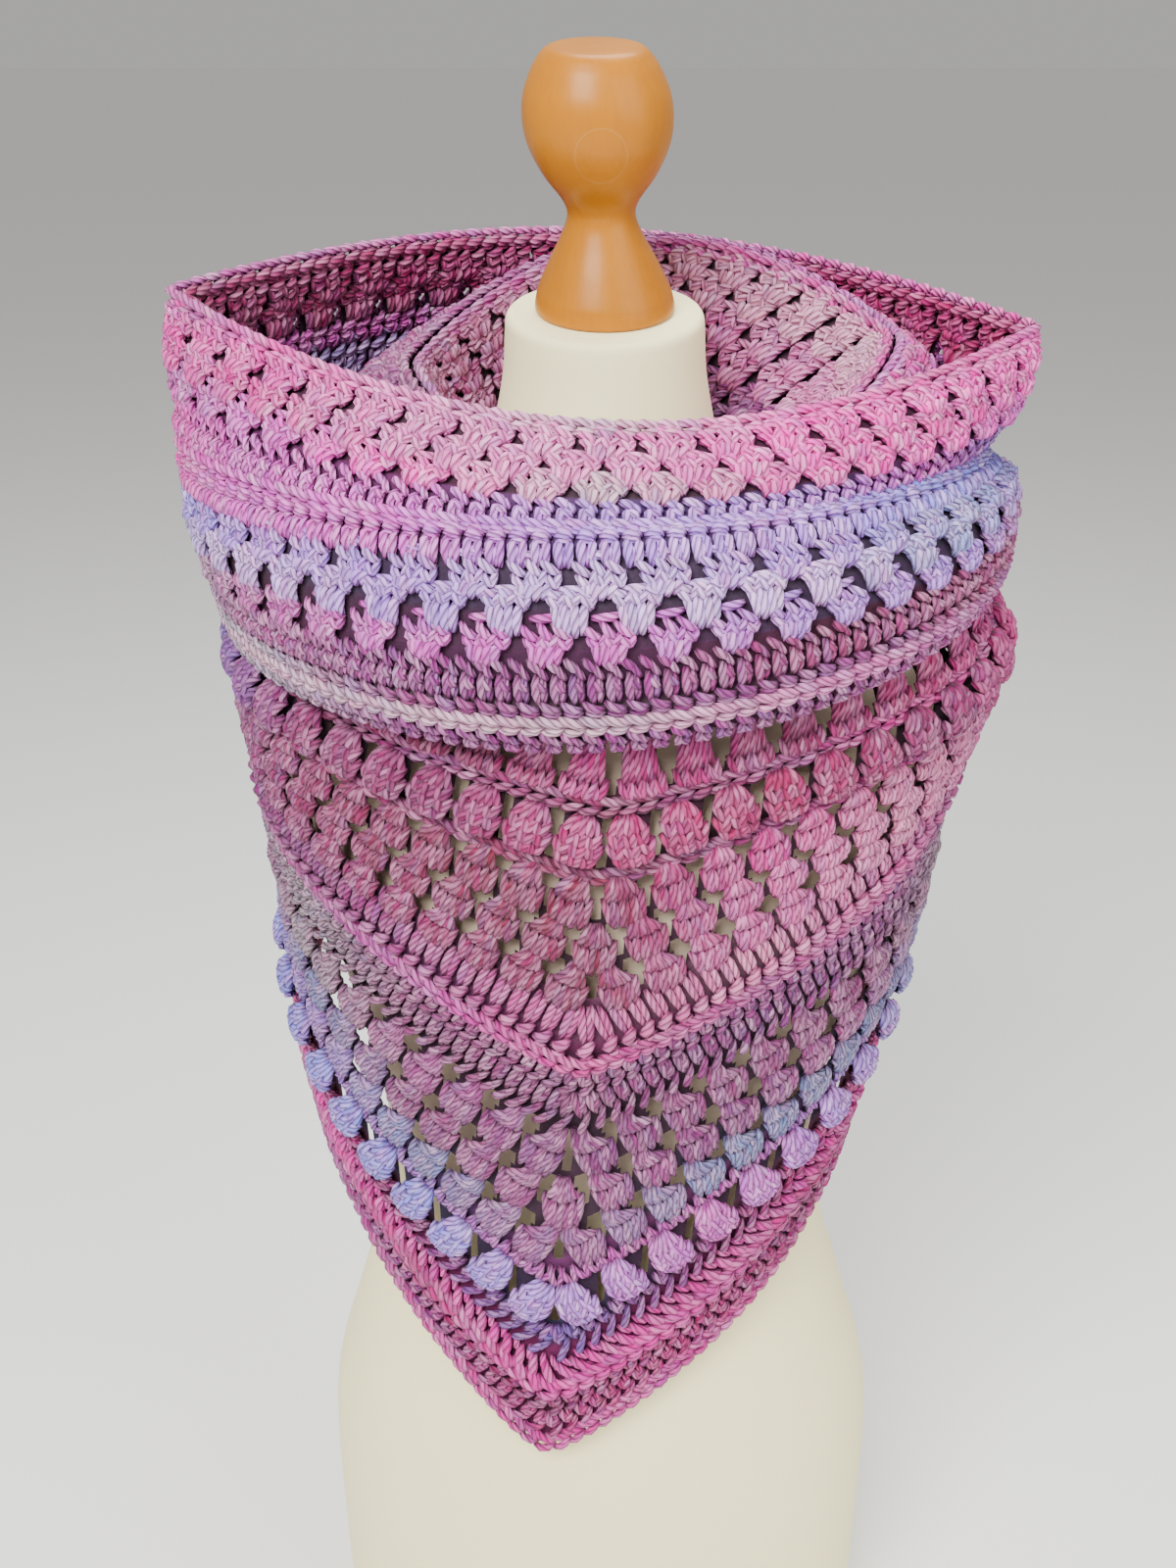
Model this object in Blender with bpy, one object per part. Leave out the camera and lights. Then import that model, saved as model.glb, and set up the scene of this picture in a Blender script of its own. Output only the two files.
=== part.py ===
"""Hooded scarf, crocheted in chunky yarn, worn on a limbless dress form with a turned wooden knob.

Metres, +Z up. The origin is under the middle of the whole, on the floor, and the front faces -Y.
"""
import math

import bmesh
import bpy
from mathutils import Matrix, Vector

# Driving sizes
NECK_PLATE_HEIGHT = 0.88
FORM_AXIS_X = 0.0010             # the hood hangs further behind the form than in front of it,
FORM_AXIS_Y = -0.0116            # so the form's axis lies a little in front of the origin
NECK_TILT = math.radians(10.0)
NECK_PLATE_Y = -0.004
WALL = 0.0040                    # chunky yarn, doubled in each stitch
COLLAR_WALL = 0.0035
SEAM = 0.0003
SEAM_SHARE = 0.8                 # of the seam's gap, taken back on each side of it
SEAM_AT_FOLD = 0.0004            # taken back on each side there, where the cloth bends
EDGE_CORD = 0.0030               # radius of the crocheted edging
EDGE_GAP = 0.0007                # between the edging and the cloth, which bends along it
COLUMNS = 64                     # two for each of the 32 clusters in a round
FORM_COLUMNS = 32
CHAIN_RIDGE = 0.0035             # how far a chain ridge stands out
BOBBLE = 0.0080                  # how far a bobble stands out
BOBBLE_EVERY = 3                 # columns from one bobble to the next
CM = 0.01
MERGE = 1e-6
SMOOTH_UP_TO = math.radians(40)
SAMPLES = 180                    # along half a round, to find equal steps along the cloth

# Sections are in centimetres. drop is measured down from the neck plate.
# Dress form: drop, half width, front depth, back depth
FORM_SECTIONS = (
    (88.0, 16.4, 11.2, 11.2),
    (87.4, 16.8, 11.6, 11.6),
    (80.0, 17.2, 11.7, 11.9),
    (68.0, 17.2, 11.6, 12.0),
    (60.0, 15.2, 10.7, 11.0),
    (54.0, 13.5, 9.9, 9.9),
    (48.0, 12.9, 9.7, 9.4),
    (42.0, 13.7, 10.4, 9.6),
    (36.0, 15.2, 11.6, 10.2),
    (30.0, 16.6, 12.6, 10.8),
    (26.0, 17.3, 12.4, 11.1),
    (22.0, 17.9, 12.1, 11.6),
    (18.2, 18.2, 11.6, 11.4),
    (15.2, 17.4, 10.8, 10.8),
    (12.9, 14.9, 9.4, 9.5),
    (11.4, 11.9, 8.1, 8.2),
    (10.75, 8.9, 7.2, 7.2),
    (10.35, 8.0, 6.9, 6.9),
    (9.85, 6.8, 6.4, 6.4),
    (9.2, 6.5, 6.22, 6.22),
    (8.2, 6.2, 6.05, 6.05),
    (6.5, 5.85, 5.8, 5.8),
    (3.2, 5.2, 5.2, 5.2),
    (1.0, 5.05, 5.05, 5.05),
    (0.2, 4.95, 4.95, 4.95),
    (0.0, 4.75, 4.75, 4.75),
)
NECK_BASE_DROP = 9.2             # the neck leans forward above here

# Wooden knob: radius, height above the plate
KNOB_PROFILE = (
    (3.45, 0.0), (3.50, 0.3), (3.28, 1.2), (2.68, 2.5), (2.05, 3.7), (1.66, 4.7), (1.88, 5.5),
    (2.75, 6.7), (3.38, 8.0), (3.60, 9.2), (3.48, 10.4), (3.03, 11.5), (2.50, 12.2), (2.10, 12.5),
)
KNOB_SIDE_LEAN = math.radians(-2.4)
KNOB_COLUMNS = 28

# Hood, from the rim down its outer layer, round the low fold and up inside to the crest.
# name, half width, shift to +X, front depth, back depth, corner,
# drop at the front, the sides and the back, right side lower
HOOD_SECTIONS = (
    ("rim", 21.7, 0.0, 11.0, 13.5, 2.0, 3.7, 0.1, -2.1, 0.9),
    ("gap_a_top", 21.8, 0.0, 12.0, 14.0, 1.85, 4.5, 1.4, -0.8, 0.8),
    ("gap_a_low", 21.8, -0.2, 12.6, 14.4, 1.75, 5.1, 2.2, 0.0, 0.7),
    ("gap_c_top", 21.6, -0.3, 13.3, 14.9, 1.65, 5.9, 3.6, 1.3, 0.6),
    ("gap_c_low", 21.3, -0.5, 13.8, 15.2, 1.55, 6.5, 4.6, 2.1, 0.5),
    ("above_ridge", 20.8, -1.1, 14.3, 15.6, 1.45, 7.0, 6.1, 3.5, 0.3),
    ("ridge", 20.6, -1.2, 14.5, 15.8, 1.4, 7.5, 7.0, 4.4, 0.0),
    ("below_ridge", 20.9, -0.8, 15.0, 16.1, 1.35, 8.1, 7.9, 5.4, -0.2),
    ("gap_d_top", 21.3, -0.3, 15.6, 16.7, 1.3, 9.6, 8.9, 7.8, -0.6),
    ("gap_d_low", 21.3, -0.2, 15.9, 17.1, 1.25, 10.3, 9.5, 9.0, -0.8),
    ("gap_f_top", 21.1, 0.1, 16.3, 17.9, 1.2, 11.9, 10.8, 11.8, -1.1),
    ("gap_f_low", 21.0, 0.2, 16.5, 18.3, 1.2, 12.7, 11.5, 13.2, -1.2),
    ("tall_row", 20.8, 0.4, 16.5, 18.7, 1.15, 14.4, 12.6, 16.4, -1.4),
    ("fold_ridge", 20.5, 0.5, 16.1, 18.5, 1.1, 16.2, 13.8, 19.0, -1.5),
    ("fold_low", 20.1, 0.5, 15.2, 17.6, 1.1, 17.4, 14.6, 20.4, -1.5),
    ("fold_inside", 19.6, 0.5, 14.2, 16.5, 1.1, 16.9, 14.0, 19.9, -1.4),
    ("fall_low", 19.2, 0.4, 13.9, 15.7, 1.1, 14.6, 11.7, 16.5, -1.0),
    ("fall_high", 16.4, 0.8, 12.3, 13.4, 1.15, 11.0, 7.7, 8.4, -0.6),
    ("crest_out", 14.2, 1.9, 10.9, 9.6, 1.0, 8.6, 3.6, 0.4, -0.5),
    ("crest", 12.3, 2.3, 9.7, 7.7, 1.0, 7.8, 2.3, -2.3, -0.6),
)
HOOD_GAPS = {"gap_a_top": 0, "gap_c_top": 1, "gap_d_top": 0, "gap_f_top": 1}
HOOD_RIDGES = ("ridge", "fold_ridge")

# Collar stand, from the crest down to the foot of the neck
# half width, shift, front depth, back depth, drop at front, side, back, right side lower
COLLAR_SECTIONS = (
    (12.26, 2.3, 9.66, 7.66, 7.8, 2.3, -2.3, -0.6),
    (10.7, 1.7, 8.5, 7.1, 8.0, 4.2, 0.6, -0.5),
    (8.4, 0.7, 7.3, 6.8, 8.4, 6.6, 4.6, -0.2),
    (7.0, 0.1, 6.75, 6.75, 8.8, 8.5, 8.1, 0.0),
    (6.9, 0.0, 6.62, 6.62, 9.17, 9.17, 9.17, 0.0),
)

# Yoke and body panel as a surface hung from the shoulders
# drop, half width, shift, front depth, back depth
BODY_SECTIONS = (
    (9.2, 6.94, 0.0, 6.66, 6.66),
    (9.5, 8.2, 0.0, 7.3, 7.3),
    (9.95, 9.9, 0.0, 7.9, 7.9),
    (10.8, 12.6, 0.0, 8.9, 9.1),
    (12.2, 15.8, 0.2, 10.2, 10.4),
    (14.3, 19.0, 0.7, 11.8, 11.9),
    (16.5, 20.1, 0.8, 12.6, 12.6),
    (18.7, 20.4, 0.7, 13.2, 13.1),
    (22.1, 19.6, 0.4, 13.5, 13.4),
    (26.0, 18.8, 0.0, 13.7, 13.4),
    (31.0, 18.1, 0.0, 13.8, 13.1),
    (36.0, 17.4, -0.4, 13.5, 12.7),
    (41.0, 16.6, -0.8, 13.1, 12.3),
    (45.0, 16.0, -1.0, 12.8, 11.9),
    (50.0, 15.4, -1.1, 12.4, 11.5),
    (57.0, 15.3, -1.0, 12.3, 11.3),
    (64.0, 15.6, -0.9, 12.4, 11.4),
)

# Its rows run in a V: name, drop at the front tip, at the sides, at the back, right side lower
BODY_ROWS = (
    ("foot", 9.2, 9.2, 9.2, 0.0),
    ("yoke_a", 11.2, 10.3, 9.9, 0.0),
    ("yoke_b", 14.0, 11.7, 10.6, 0.0),
    ("yoke_c", 17.2, 13.2, 11.4, 0.0),
    ("gap_g_top", 20.4, 14.9, 12.3, 0.0),
    ("gap_g_low", 21.3, 15.5, 12.6, 0.0),
    ("top_bobbles", 23.2, 16.7, 13.2, 0.0),
    ("gap_h_top", 25.0, 17.8, 13.8, 0.0),
    ("gap_h_low", 25.9, 18.4, 14.1, 0.0),
    ("gap_i_top", 27.8, 19.5, 14.7, 0.0),
    ("gap_i_low", 28.7, 20.1, 15.0, 0.0),
    ("gap_j_top", 30.4, 21.1, 15.5, 0.0),
    ("gap_j_low", 31.3, 21.7, 15.8, 0.0),
    ("wrapped_row", 33.3, 23.0, 16.3, 0.0),
    ("ridge", 36.2, 24.7, 17.0, 0.0),
    ("tall_row", 38.0, 26.0, 17.5, 0.0),
    ("gap_k_top", 40.7, 27.9, 18.2, 0.2),
    ("gap_k_low", 41.7, 28.6, 18.5, 0.2),
    ("gap_l_top", 43.9, 30.2, 19.0, 0.3),
    ("gap_l_low", 44.9, 30.9, 19.3, 0.4),
    ("gap_m_top", 47.2, 32.6, 20.0, 0.6),
    ("gap_m_low", 48.2, 33.3, 20.3, 0.7),
    ("low_sc", 51.0, 35.4, 21.3, 0.9),
    ("low_bobbles", 52.9, 36.7, 22.0, 1.1),
    ("border_top", 54.9, 38.2, 22.8, 1.3),
    ("border_ridge", 58.2, 40.6, 24.4, 1.7),
    ("border_low", 60.0, 42.0, 25.9, 1.9),
    ("hem", 62.6, 43.9, 28.0, 2.1),
)
BODY_GAPS = {
    "gap_g_top": 0, "gap_h_top": 1, "gap_i_top": 0, "gap_j_top": 1, "gap_k_top": 0, "gap_l_top": 1,
    "gap_m_top": 0,
}
BODY_RIDGES = ("ridge", "border_ridge")
BODY_BOBBLES = ("top_bobbles", "low_bobbles")
BACK_ROWS_LEFT_OUT = (
    "gap_g_top", "top_bobbles", "gap_h_top", "gap_i_top", "gap_i_low", "gap_j_top", "wrapped_row",
    "tall_row", "gap_k_low", "gap_l_low", "gap_m_top", "gap_m_low",
)
TOP_BOBBLES_REACH = math.radians(45)  # past here they are tucked under the hood
V_TURN = math.radians(-9.0)      # at the hem the point hangs a little to the wearer's right
V_TURN_GROWTH = 2.2              # and less so in the rows above it
TIP_ROUNDING = 0.014             # of half a round, at the point of the V
BACK_ROUNDING = 0.10
BACK_FULLNESS = 0.88             # below 1 the back of the body is squarer than an ellipse

# Colours (linear) and finishes
JERSEY = ("jersey", (0.80, 0.76, 0.62), 0.85)
MAPLE = ("maple", (0.72, 0.40, 0.14), 0.40)
PINK_YARN = ("pink_yarn", (0.52, 0.22, 0.38), 0.80)
LILAC_YARN = ("lilac_yarn", (0.40, 0.30, 0.55), 0.80)
PLUM_YARN = ("plum_yarn", (0.30, 0.13, 0.26), 0.80)


def clear_scene():
    for old in list(bpy.data.objects):
        bpy.data.objects.remove(old)


def material(finish):
    name, colour, roughness = finish
    made = bpy.data.materials.get(name)
    if made is None:
        made = bpy.data.materials.new(name)
        made.use_nodes = True
        shader = made.node_tree.nodes["Principled BSDF"]
        shader.inputs["Base Color"].default_value = (*colour, 1.0)
        shader.inputs["Roughness"].default_value = roughness
        shader.inputs["Metallic"].default_value = 0.0
    return made


def new_object(name, bm, finish):
    """Turn a finished bmesh into a named, smooth-shaded object."""
    mesh = bpy.data.meshes.new(name)
    bm.to_mesh(mesh)
    bm.free()
    mesh.shade_smooth()
    mesh.set_sharp_from_angle(angle=SMOOTH_UP_TO)
    mesh.materials.append(material(finish))
    made = bpy.data.objects.new(name, mesh)
    bpy.context.scene.collection.objects.link(made)


def point(x, depth, drop):
    """A point x to the right, depth in front of the form's axis and drop below its plate, in cm."""
    return Vector((FORM_AXIS_X + x * CM, FORM_AXIS_Y - depth * CM, NECK_PLATE_HEIGHT - drop * CM))


def signed_power(value, exponent):
    return math.copysign(abs(value) ** exponent, value)


def front_side_back(angle, front, side, back):
    """Blend three values round the form: angle 0 is the front, half a turn the back."""
    weight = math.cos(angle) ** 2
    return side + ((front if math.cos(angle) > 0 else back) - side) * weight


def angles(count):
    """Equal steps round the form, starting on the left side, so that halves split at the sides."""
    return [math.tau * (step / count) - math.pi / 2 for step in range(count)]


def even_round(curve):
    """Points of a closed round at equal steps along the cloth, half of them on each side."""
    points = []
    for start in (-math.pi / 2, math.pi / 2):
        fine = [curve(start + math.pi * step / SAMPLES) for step in range(SAMPLES + 1)]
        lengths = [0.0]
        for a, b in zip(fine, fine[1:]):
            lengths.append(lengths[-1] + (b - a).length)
        step = 0
        for column in range(COLUMNS // 2):
            wanted = lengths[-1] * column / (COLUMNS // 2)
            while lengths[step + 1] < wanted:
                step += 1
            share = (wanted - lengths[step]) / (lengths[step + 1] - lengths[step])
            points.append(fine[step].lerp(fine[step + 1], share))
    return points


def section_point(angle, half_width, shift, front, back, corner, drop):
    depth = (front if math.cos(angle) > 0 else back) * signed_power(math.cos(angle), corner)
    return point(half_width * math.sin(angle) + shift, depth, drop)


def between(sections, drop):
    """The section's other values at this drop, straight between its neighbours in the table."""
    for upper, lower in zip(sections, sections[1:]):
        if drop <= lower[0]:
            break
    share = (drop - upper[0]) / (lower[0] - upper[0])
    return [a + (b - a) * share for a, b in zip(upper[1:], lower[1:])]


def drawn_back(lines, half, band):
    """The lines, with the edges that meet another part drawn back by most of the seam's gap."""
    lines = [list(line) for line in lines]
    columns = len(lines[0])

    def draw(row, column, next_row, next_column, gap):
        at = lines[row][column % columns]
        way = (lines[next_row][next_column % columns] - at).normalized()
        lines[row][column % columns] = at + way * gap

    if half is not None:
        first = half * columns // 2
        last = first + columns // 2
        for row in range(len(lines)):
            draw(row, first, row, first + 1, SEAM * SEAM_SHARE)
            draw(row, last, row, last - 1, SEAM * SEAM_SHARE)
    for row, next_row in ((band[0], band[0] + 1), (band[1], band[1] - 1)):
        if row not in (0, len(lines) - 1):
            for column in range(columns):
                draw(row, column, next_row, column, SEAM_AT_FOLD)
    return lines


def cloth_wall(name, lines, finish, wall, half=None, band=None, cut=(), raised=()):
    """A wall of cloth through rings of points on its outer face.

    lines: rings of equal length, each a list of points. half: None for a whole round, 0 for the
    front and 1 for the back. band: the first and last ring of this part, if it hasn't them all.
    cut: (row, column) cells left open. raised: (row, column, height).
    """
    band = band or (0, len(lines) - 1)
    lines = drawn_back(lines, half, band)
    columns = len(lines[0])
    bm = bmesh.new()
    outward = bm.verts.layers.float_vector.new("outward")
    lift = bm.verts.layers.float.new("lift")
    bmesh.ops.create_grid(bm, x_segments=columns, y_segments=len(lines) - 1, size=1.0)
    bm.verts.ensure_lookup_table()
    stride = columns + 1
    for row, line in enumerate(lines):
        for column in range(stride):
            bm.verts[row * stride + column].co = line[column % columns]
    for row, column, height in raised:
        bm.verts[row * stride + column % columns][lift] = height
    cells = {}
    for face in bm.faces:
        corner = min(vert.index for vert in face.verts)
        cells[divmod(corner, stride)] = face
    marked = [cells[cell] for cell in cut if cell in cells]
    marked += [face for (row, column), face in cells.items() if not band[0] <= row < band[1]]
    if half is not None:
        start = 0 if half == 0 else columns // 2
        kept = range(start, start + columns // 2)
        marked += [face for (row, column), face in cells.items() if column not in kept]
    bmesh.ops.remove_doubles(bm, verts=bm.verts[:], dist=MERGE)
    bm.normal_update()
    for vert in bm.verts:
        vert[outward] = -vert.normal
    marked = [face for face in marked if face.is_valid]
    bmesh.ops.delete(bm, geom=list(set(marked)), context="FACES")
    bmesh.ops.delete(bm, geom=[vert for vert in bm.verts if not vert.link_faces], context="VERTS")
    copy = bmesh.ops.extrude_face_region(bm, geom=bm.faces[:], use_keep_orig=True)
    inner = [item for item in copy["geom"] if isinstance(item, bmesh.types.BMVert)]
    fresh = set(inner)
    for vert in bm.verts:
        if vert in fresh:
            vert.co -= Vector(vert[outward]) * wall
        else:
            vert.co += Vector(vert[outward]) * vert[lift]
    bmesh.ops.recalc_face_normals(bm, faces=bm.faces[:])
    new_object(name, bm, finish)


def build_form():
    """The padded body and neck in one piece, jersey-covered, with smooth ends where arms would be."""
    bm = bmesh.new()
    rings = []
    for drop, half_width, front, back in FORM_SECTIONS:
        lean = max(0.0, NECK_BASE_DROP - drop) / NECK_BASE_DROP
        ring = []
        for angle in angles(FORM_COLUMNS):
            at = section_point(angle, half_width, 0.0, front, back, 1.0, drop)
            at.z += (at.y - FORM_AXIS_Y) * math.tan(NECK_TILT) * lean
            at.y += NECK_PLATE_Y * lean
            ring.append(bm.verts.new(at))
        rings.append(ring)
    edges = []
    for ring in rings:
        edges.append([bm.edges.new((ring[i - 1], ring[i])) for i in range(FORM_COLUMNS)])
    for lower, upper in zip(edges, edges[1:]):
        bmesh.ops.bridge_loops(bm, edges=lower + upper)
    for ring in (rings[0], rings[-1]):
        bm.faces.new(ring)
    bmesh.ops.recalc_face_normals(bm, faces=bm.faces[:])
    new_object("form_body", bm, JERSEY)


def build_knob():
    """Turned maple, standing on the neck plate and leaning with it."""
    bm = bmesh.new()
    outline = [bm.verts.new((radius * CM, 0.0, height * CM)) for radius, height in KNOB_PROFILE]
    foot = bm.verts.new((0.0, 0.0, KNOB_PROFILE[0][1] * CM))
    top = bm.verts.new((0.0, 0.0, KNOB_PROFILE[-1][1] * CM))
    chain = [foot] + outline + [top]
    edges = [bm.edges.new(pair) for pair in zip(chain, chain[1:])]
    bmesh.ops.spin(bm, geom=chain + edges, axis=(0, 0, 1), cent=(0, 0, 0), angle=math.tau,
                   steps=KNOB_COLUMNS, use_merge=True)
    bmesh.ops.remove_doubles(bm, verts=bm.verts[:], dist=MERGE)
    bmesh.ops.recalc_face_normals(bm, faces=bm.faces[:])
    seat = Vector((FORM_AXIS_X, FORM_AXIS_Y + NECK_PLATE_Y, NECK_PLATE_HEIGHT + SEAM))
    lean = Matrix.Shear("XY", 4, (math.tan(KNOB_SIDE_LEAN), 0.0))
    place = Matrix.Translation(seat) @ Matrix.Rotation(NECK_TILT, 4, "X") @ lean
    bmesh.ops.transform(bm, matrix=place, verts=bm.verts[:])
    new_object("neck_knob", bm, MAPLE)


def hood_lines():
    lines = []
    for name, half_width, shift, front, back, corner, at_front, at_side, at_back, lower in HOOD_SECTIONS:
        def curve(angle):
            drop = front_side_back(angle, at_front, at_side, at_back) + lower * math.sin(angle)
            return section_point(angle, half_width, shift, front, back, corner, drop)
        lines.append(even_round(curve))
    return lines


def build_hood():
    """Outer layer with the low fold, and inner fall, each in a front and a back half."""
    lines = hood_lines()
    names = [section[0] for section in HOOD_SECTIONS]
    fold = names.index("fold_inside")
    for half, side, finish in ((0, "front", PINK_YARN), (1, "back", LILAC_YARN)):
        first = half * COLUMNS // 2
        here = range(first, first + COLUMNS // 2)
        cut = [(names.index(row), column) for row, odd in HOOD_GAPS.items() for column in here
               if column % 2 == odd and column not in (first, first + COLUMNS // 2 - 1)]
        raised = [(names.index(row), column, CHAIN_RIDGE) for row in HOOD_RIDGES
                  for column in range(COLUMNS)]
        cloth_wall("hood_" + side, lines, finish, WALL, half, (0, fold), cut, raised)
        cloth_wall("fall_" + side, lines, PLUM_YARN, WALL, half, (fold, len(lines) - 1))


def build_collar():
    """The stand between the crest and the neck, a whole round."""
    lines = []
    for half_width, shift, front, back, at_front, at_side, at_back, lower in COLLAR_SECTIONS:
        line = []
        for angle in angles(FORM_COLUMNS):
            drop = front_side_back(angle, at_front, at_side, at_back) + lower * math.sin(angle)
            line.append(section_point(angle, half_width, shift, front, back, 1.0, drop))
        lines.append(line)
    cloth_wall("collar_stand", lines, PLUM_YARN, COLLAR_WALL)


def along_v(share, tip, side, back):
    """A row's drop at this share of half a round, from its point at 0 to the middle back at 1."""
    span = math.hypot(1.0, TIP_ROUNDING) - TIP_ROUNDING
    near = (math.hypot(share, TIP_ROUNDING) - TIP_ROUNDING) / span
    rest = (math.hypot(1.0 - near, BACK_ROUNDING) - BACK_ROUNDING)
    eased = 1.0 - rest / (math.hypot(1.0, BACK_ROUNDING) - BACK_ROUNDING)
    linear = 4.0 * side - 3.0 * tip - back
    curved = 2.0 * tip + 2.0 * back - 4.0 * side
    return tip + linear * eased + curved * eased ** 2


def body_point(angle, drop):
    half_width, shift, front, back = between(BODY_SECTIONS, drop)
    if math.cos(angle) > 0:
        return section_point(angle, half_width, shift, front, back, 1.0, drop)
    x = half_width * signed_power(math.sin(angle), BACK_FULLNESS) + shift
    return point(x, back * signed_power(math.cos(angle), BACK_FULLNESS), drop)


def body_line(tip, side, back, lower):
    turn = V_TURN * (tip / BODY_ROWS[-1][1]) ** V_TURN_GROWTH

    def curve(angle):
        share = abs(math.remainder(angle, math.tau)) / math.pi
        drop = along_v(share, tip, side, back) + lower * math.sin(angle)
        return body_point(angle + turn * math.cos(angle / 2) ** 2, drop)
    return even_round(curve)


def build_body():
    """Yoke and pointed body panel, in a front and a back half."""
    for half, name, finish in ((0, "body_front", PINK_YARN), (1, "body_back", LILAC_YARN)):
        rows = [row for row in BODY_ROWS if half == 0 or row[0] not in BACK_ROWS_LEFT_OUT]
        names = [row[0] for row in rows]
        lines = [body_line(*row[1:]) for row in rows]
        first = half * COLUMNS // 2
        here = range(first, first + COLUMNS // 2)
        cut = [(names.index(row), column) for row, odd in BODY_GAPS.items() for column in here
               if half == 0 and column % 2 == odd and column not in (first, first + COLUMNS // 2 - 1)]
        raised = [(names.index(row), column, CHAIN_RIDGE) for row in BODY_RIDGES
                  for column in range(COLUMNS)]
        for row in BODY_BOBBLES:
            reach = TOP_BOBBLES_REACH if row == "top_bobbles" else math.pi
            raised += [(names.index(row), column, BOBBLE) for column in here if row in names
                       and column % BOBBLE_EVERY == 1 and column != first
                       and abs(math.remainder(angles(COLUMNS)[column], math.tau)) < reach]
        cloth_wall(name, lines, finish, WALL, half, None, cut, raised)


def build_edging(name, edge, before, upper, finish):
    """A crocheted cord laid along a free edge, upper or lower, just clear of the cloth."""
    bm = bmesh.new()
    count = len(edge)
    rings = []
    for step, (at, inside) in enumerate(zip(edge, before)):
        ahead = (edge[(step + 1) % count] - edge[step - 1]).normalized()
        across = at - inside
        across = (across - ahead * across.dot(ahead)).normalized()
        inward = across.cross(ahead) * (1 if upper else -1)
        centre = at + across * (EDGE_CORD + EDGE_GAP) + inward * WALL / 2
        corners = ((-1, -1), (1, -1), (1, 1), (-1, 1))
        ring = [bm.verts.new(centre + across * out * EDGE_CORD + inward * deep * EDGE_CORD)
                for out, deep in corners]
        rings.append(ring)
    for step, ring in enumerate(rings):
        after = rings[(step + 1) % count]
        for i in range(len(corners)):
            bm.faces.new((ring[i - 1], ring[i], after[i], after[i - 1]))
    bmesh.ops.recalc_face_normals(bm, faces=bm.faces[:])
    new_object(name, bm, finish)


def build_edgings():
    hood = hood_lines()
    build_edging("rim_edging", hood[0], hood[1], True, PINK_YARN)
    hem, border = [body_line(*row[1:]) for row in (BODY_ROWS[-1], BODY_ROWS[-2])]
    build_edging("hem_edging", hem, border, False, PINK_YARN)


clear_scene()
build_form()
build_knob()
build_hood()
build_collar()
build_body()
build_edgings()
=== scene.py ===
"""Hooded scarf, crocheted in chunky marled yarn, worn on a jersey dress form with a maple knob."""

import math

import bmesh
import bpy
import numpy as np
from mathutils import Matrix, Vector


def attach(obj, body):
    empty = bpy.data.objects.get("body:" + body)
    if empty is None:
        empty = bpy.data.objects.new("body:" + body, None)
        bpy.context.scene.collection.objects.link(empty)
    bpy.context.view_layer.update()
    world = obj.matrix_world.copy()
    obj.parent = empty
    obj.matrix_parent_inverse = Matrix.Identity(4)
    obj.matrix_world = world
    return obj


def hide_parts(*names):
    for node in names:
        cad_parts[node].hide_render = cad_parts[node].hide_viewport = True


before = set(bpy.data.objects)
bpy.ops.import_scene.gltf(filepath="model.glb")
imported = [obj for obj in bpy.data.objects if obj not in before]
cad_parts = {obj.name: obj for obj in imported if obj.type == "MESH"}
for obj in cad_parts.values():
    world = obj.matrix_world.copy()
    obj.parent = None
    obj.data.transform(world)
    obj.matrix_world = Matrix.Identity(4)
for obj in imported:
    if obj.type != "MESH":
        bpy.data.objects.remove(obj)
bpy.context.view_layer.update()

# Dress form's body and neck: a padded shell under cream cotton jersey, pulled tight and seamless,
# with smooth ends where arms would be. It is one skin through the rings below, which the jersey
# follows without a wrinkle. Rings are in cm: drop below the neck plate, half width, front, back.
CM = 0.01
PLATE_HEIGHT = 0.88
AXIS_X, AXIS_Y = 0.0010, -0.0116
NECK_TILT = math.radians(10.0)
NECK_BASE_DROP = 9.2
NECK_PLATE_Y = -0.004
FORM_RINGS = (
    (88.0, 16.4, 11.2, 11.2), (87.8, 16.7, 11.5, 11.5), (87.0, 16.9, 11.6, 11.6),
    (80.0, 17.2, 11.7, 11.9), (68.0, 17.2, 11.6, 12.0), (60.0, 15.2, 10.7, 11.0),
    (54.0, 13.5, 9.9, 9.9), (48.0, 12.9, 9.7, 9.4), (42.0, 13.7, 10.4, 9.6),
    (36.0, 15.2, 11.6, 10.2), (30.0, 16.6, 12.6, 10.8), (26.0, 17.3, 12.4, 11.1),
    (22.0, 17.9, 12.1, 11.6), (18.2, 18.2, 11.6, 11.4), (15.2, 17.4, 10.8, 10.8),
    (12.9, 14.9, 9.4, 9.5), (11.4, 11.9, 8.1, 8.2), (10.75, 8.9, 7.2, 7.2),
    (10.35, 8.0, 6.9, 6.9), (9.85, 6.8, 6.4, 6.4), (9.2, 6.5, 6.22, 6.22),
    (8.2, 6.2, 6.05, 6.05), (6.5, 5.85, 5.8, 5.8), (3.2, 5.2, 5.2, 5.2),
    (1.0, 5.05, 5.05, 5.05), (0.35, 5.0, 5.0, 5.0), (0.08, 4.86, 4.86, 4.86),
    (0.0, 4.7, 4.7, 4.7),
)
JERSEY_CREAM = (1.0, 0.92, 0.51)
# The second colour is a painted pink reflection of the yarn on the jersey under the scarf.
JERSEY_PINK_BOUNCE = (1.0, 0.78, 0.60)
JERSEY_SHADED = (0.84, 0.72, 0.40)
JERSEY_RIBS = 7000.0
# Heights in m between which the jersey is painted with the yarn's pink reflection.
PINK_BOUNCE_FROM, PINK_BOUNCE_TO = 0.36, 0.79
FORM_COLUMNS = 96


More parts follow.
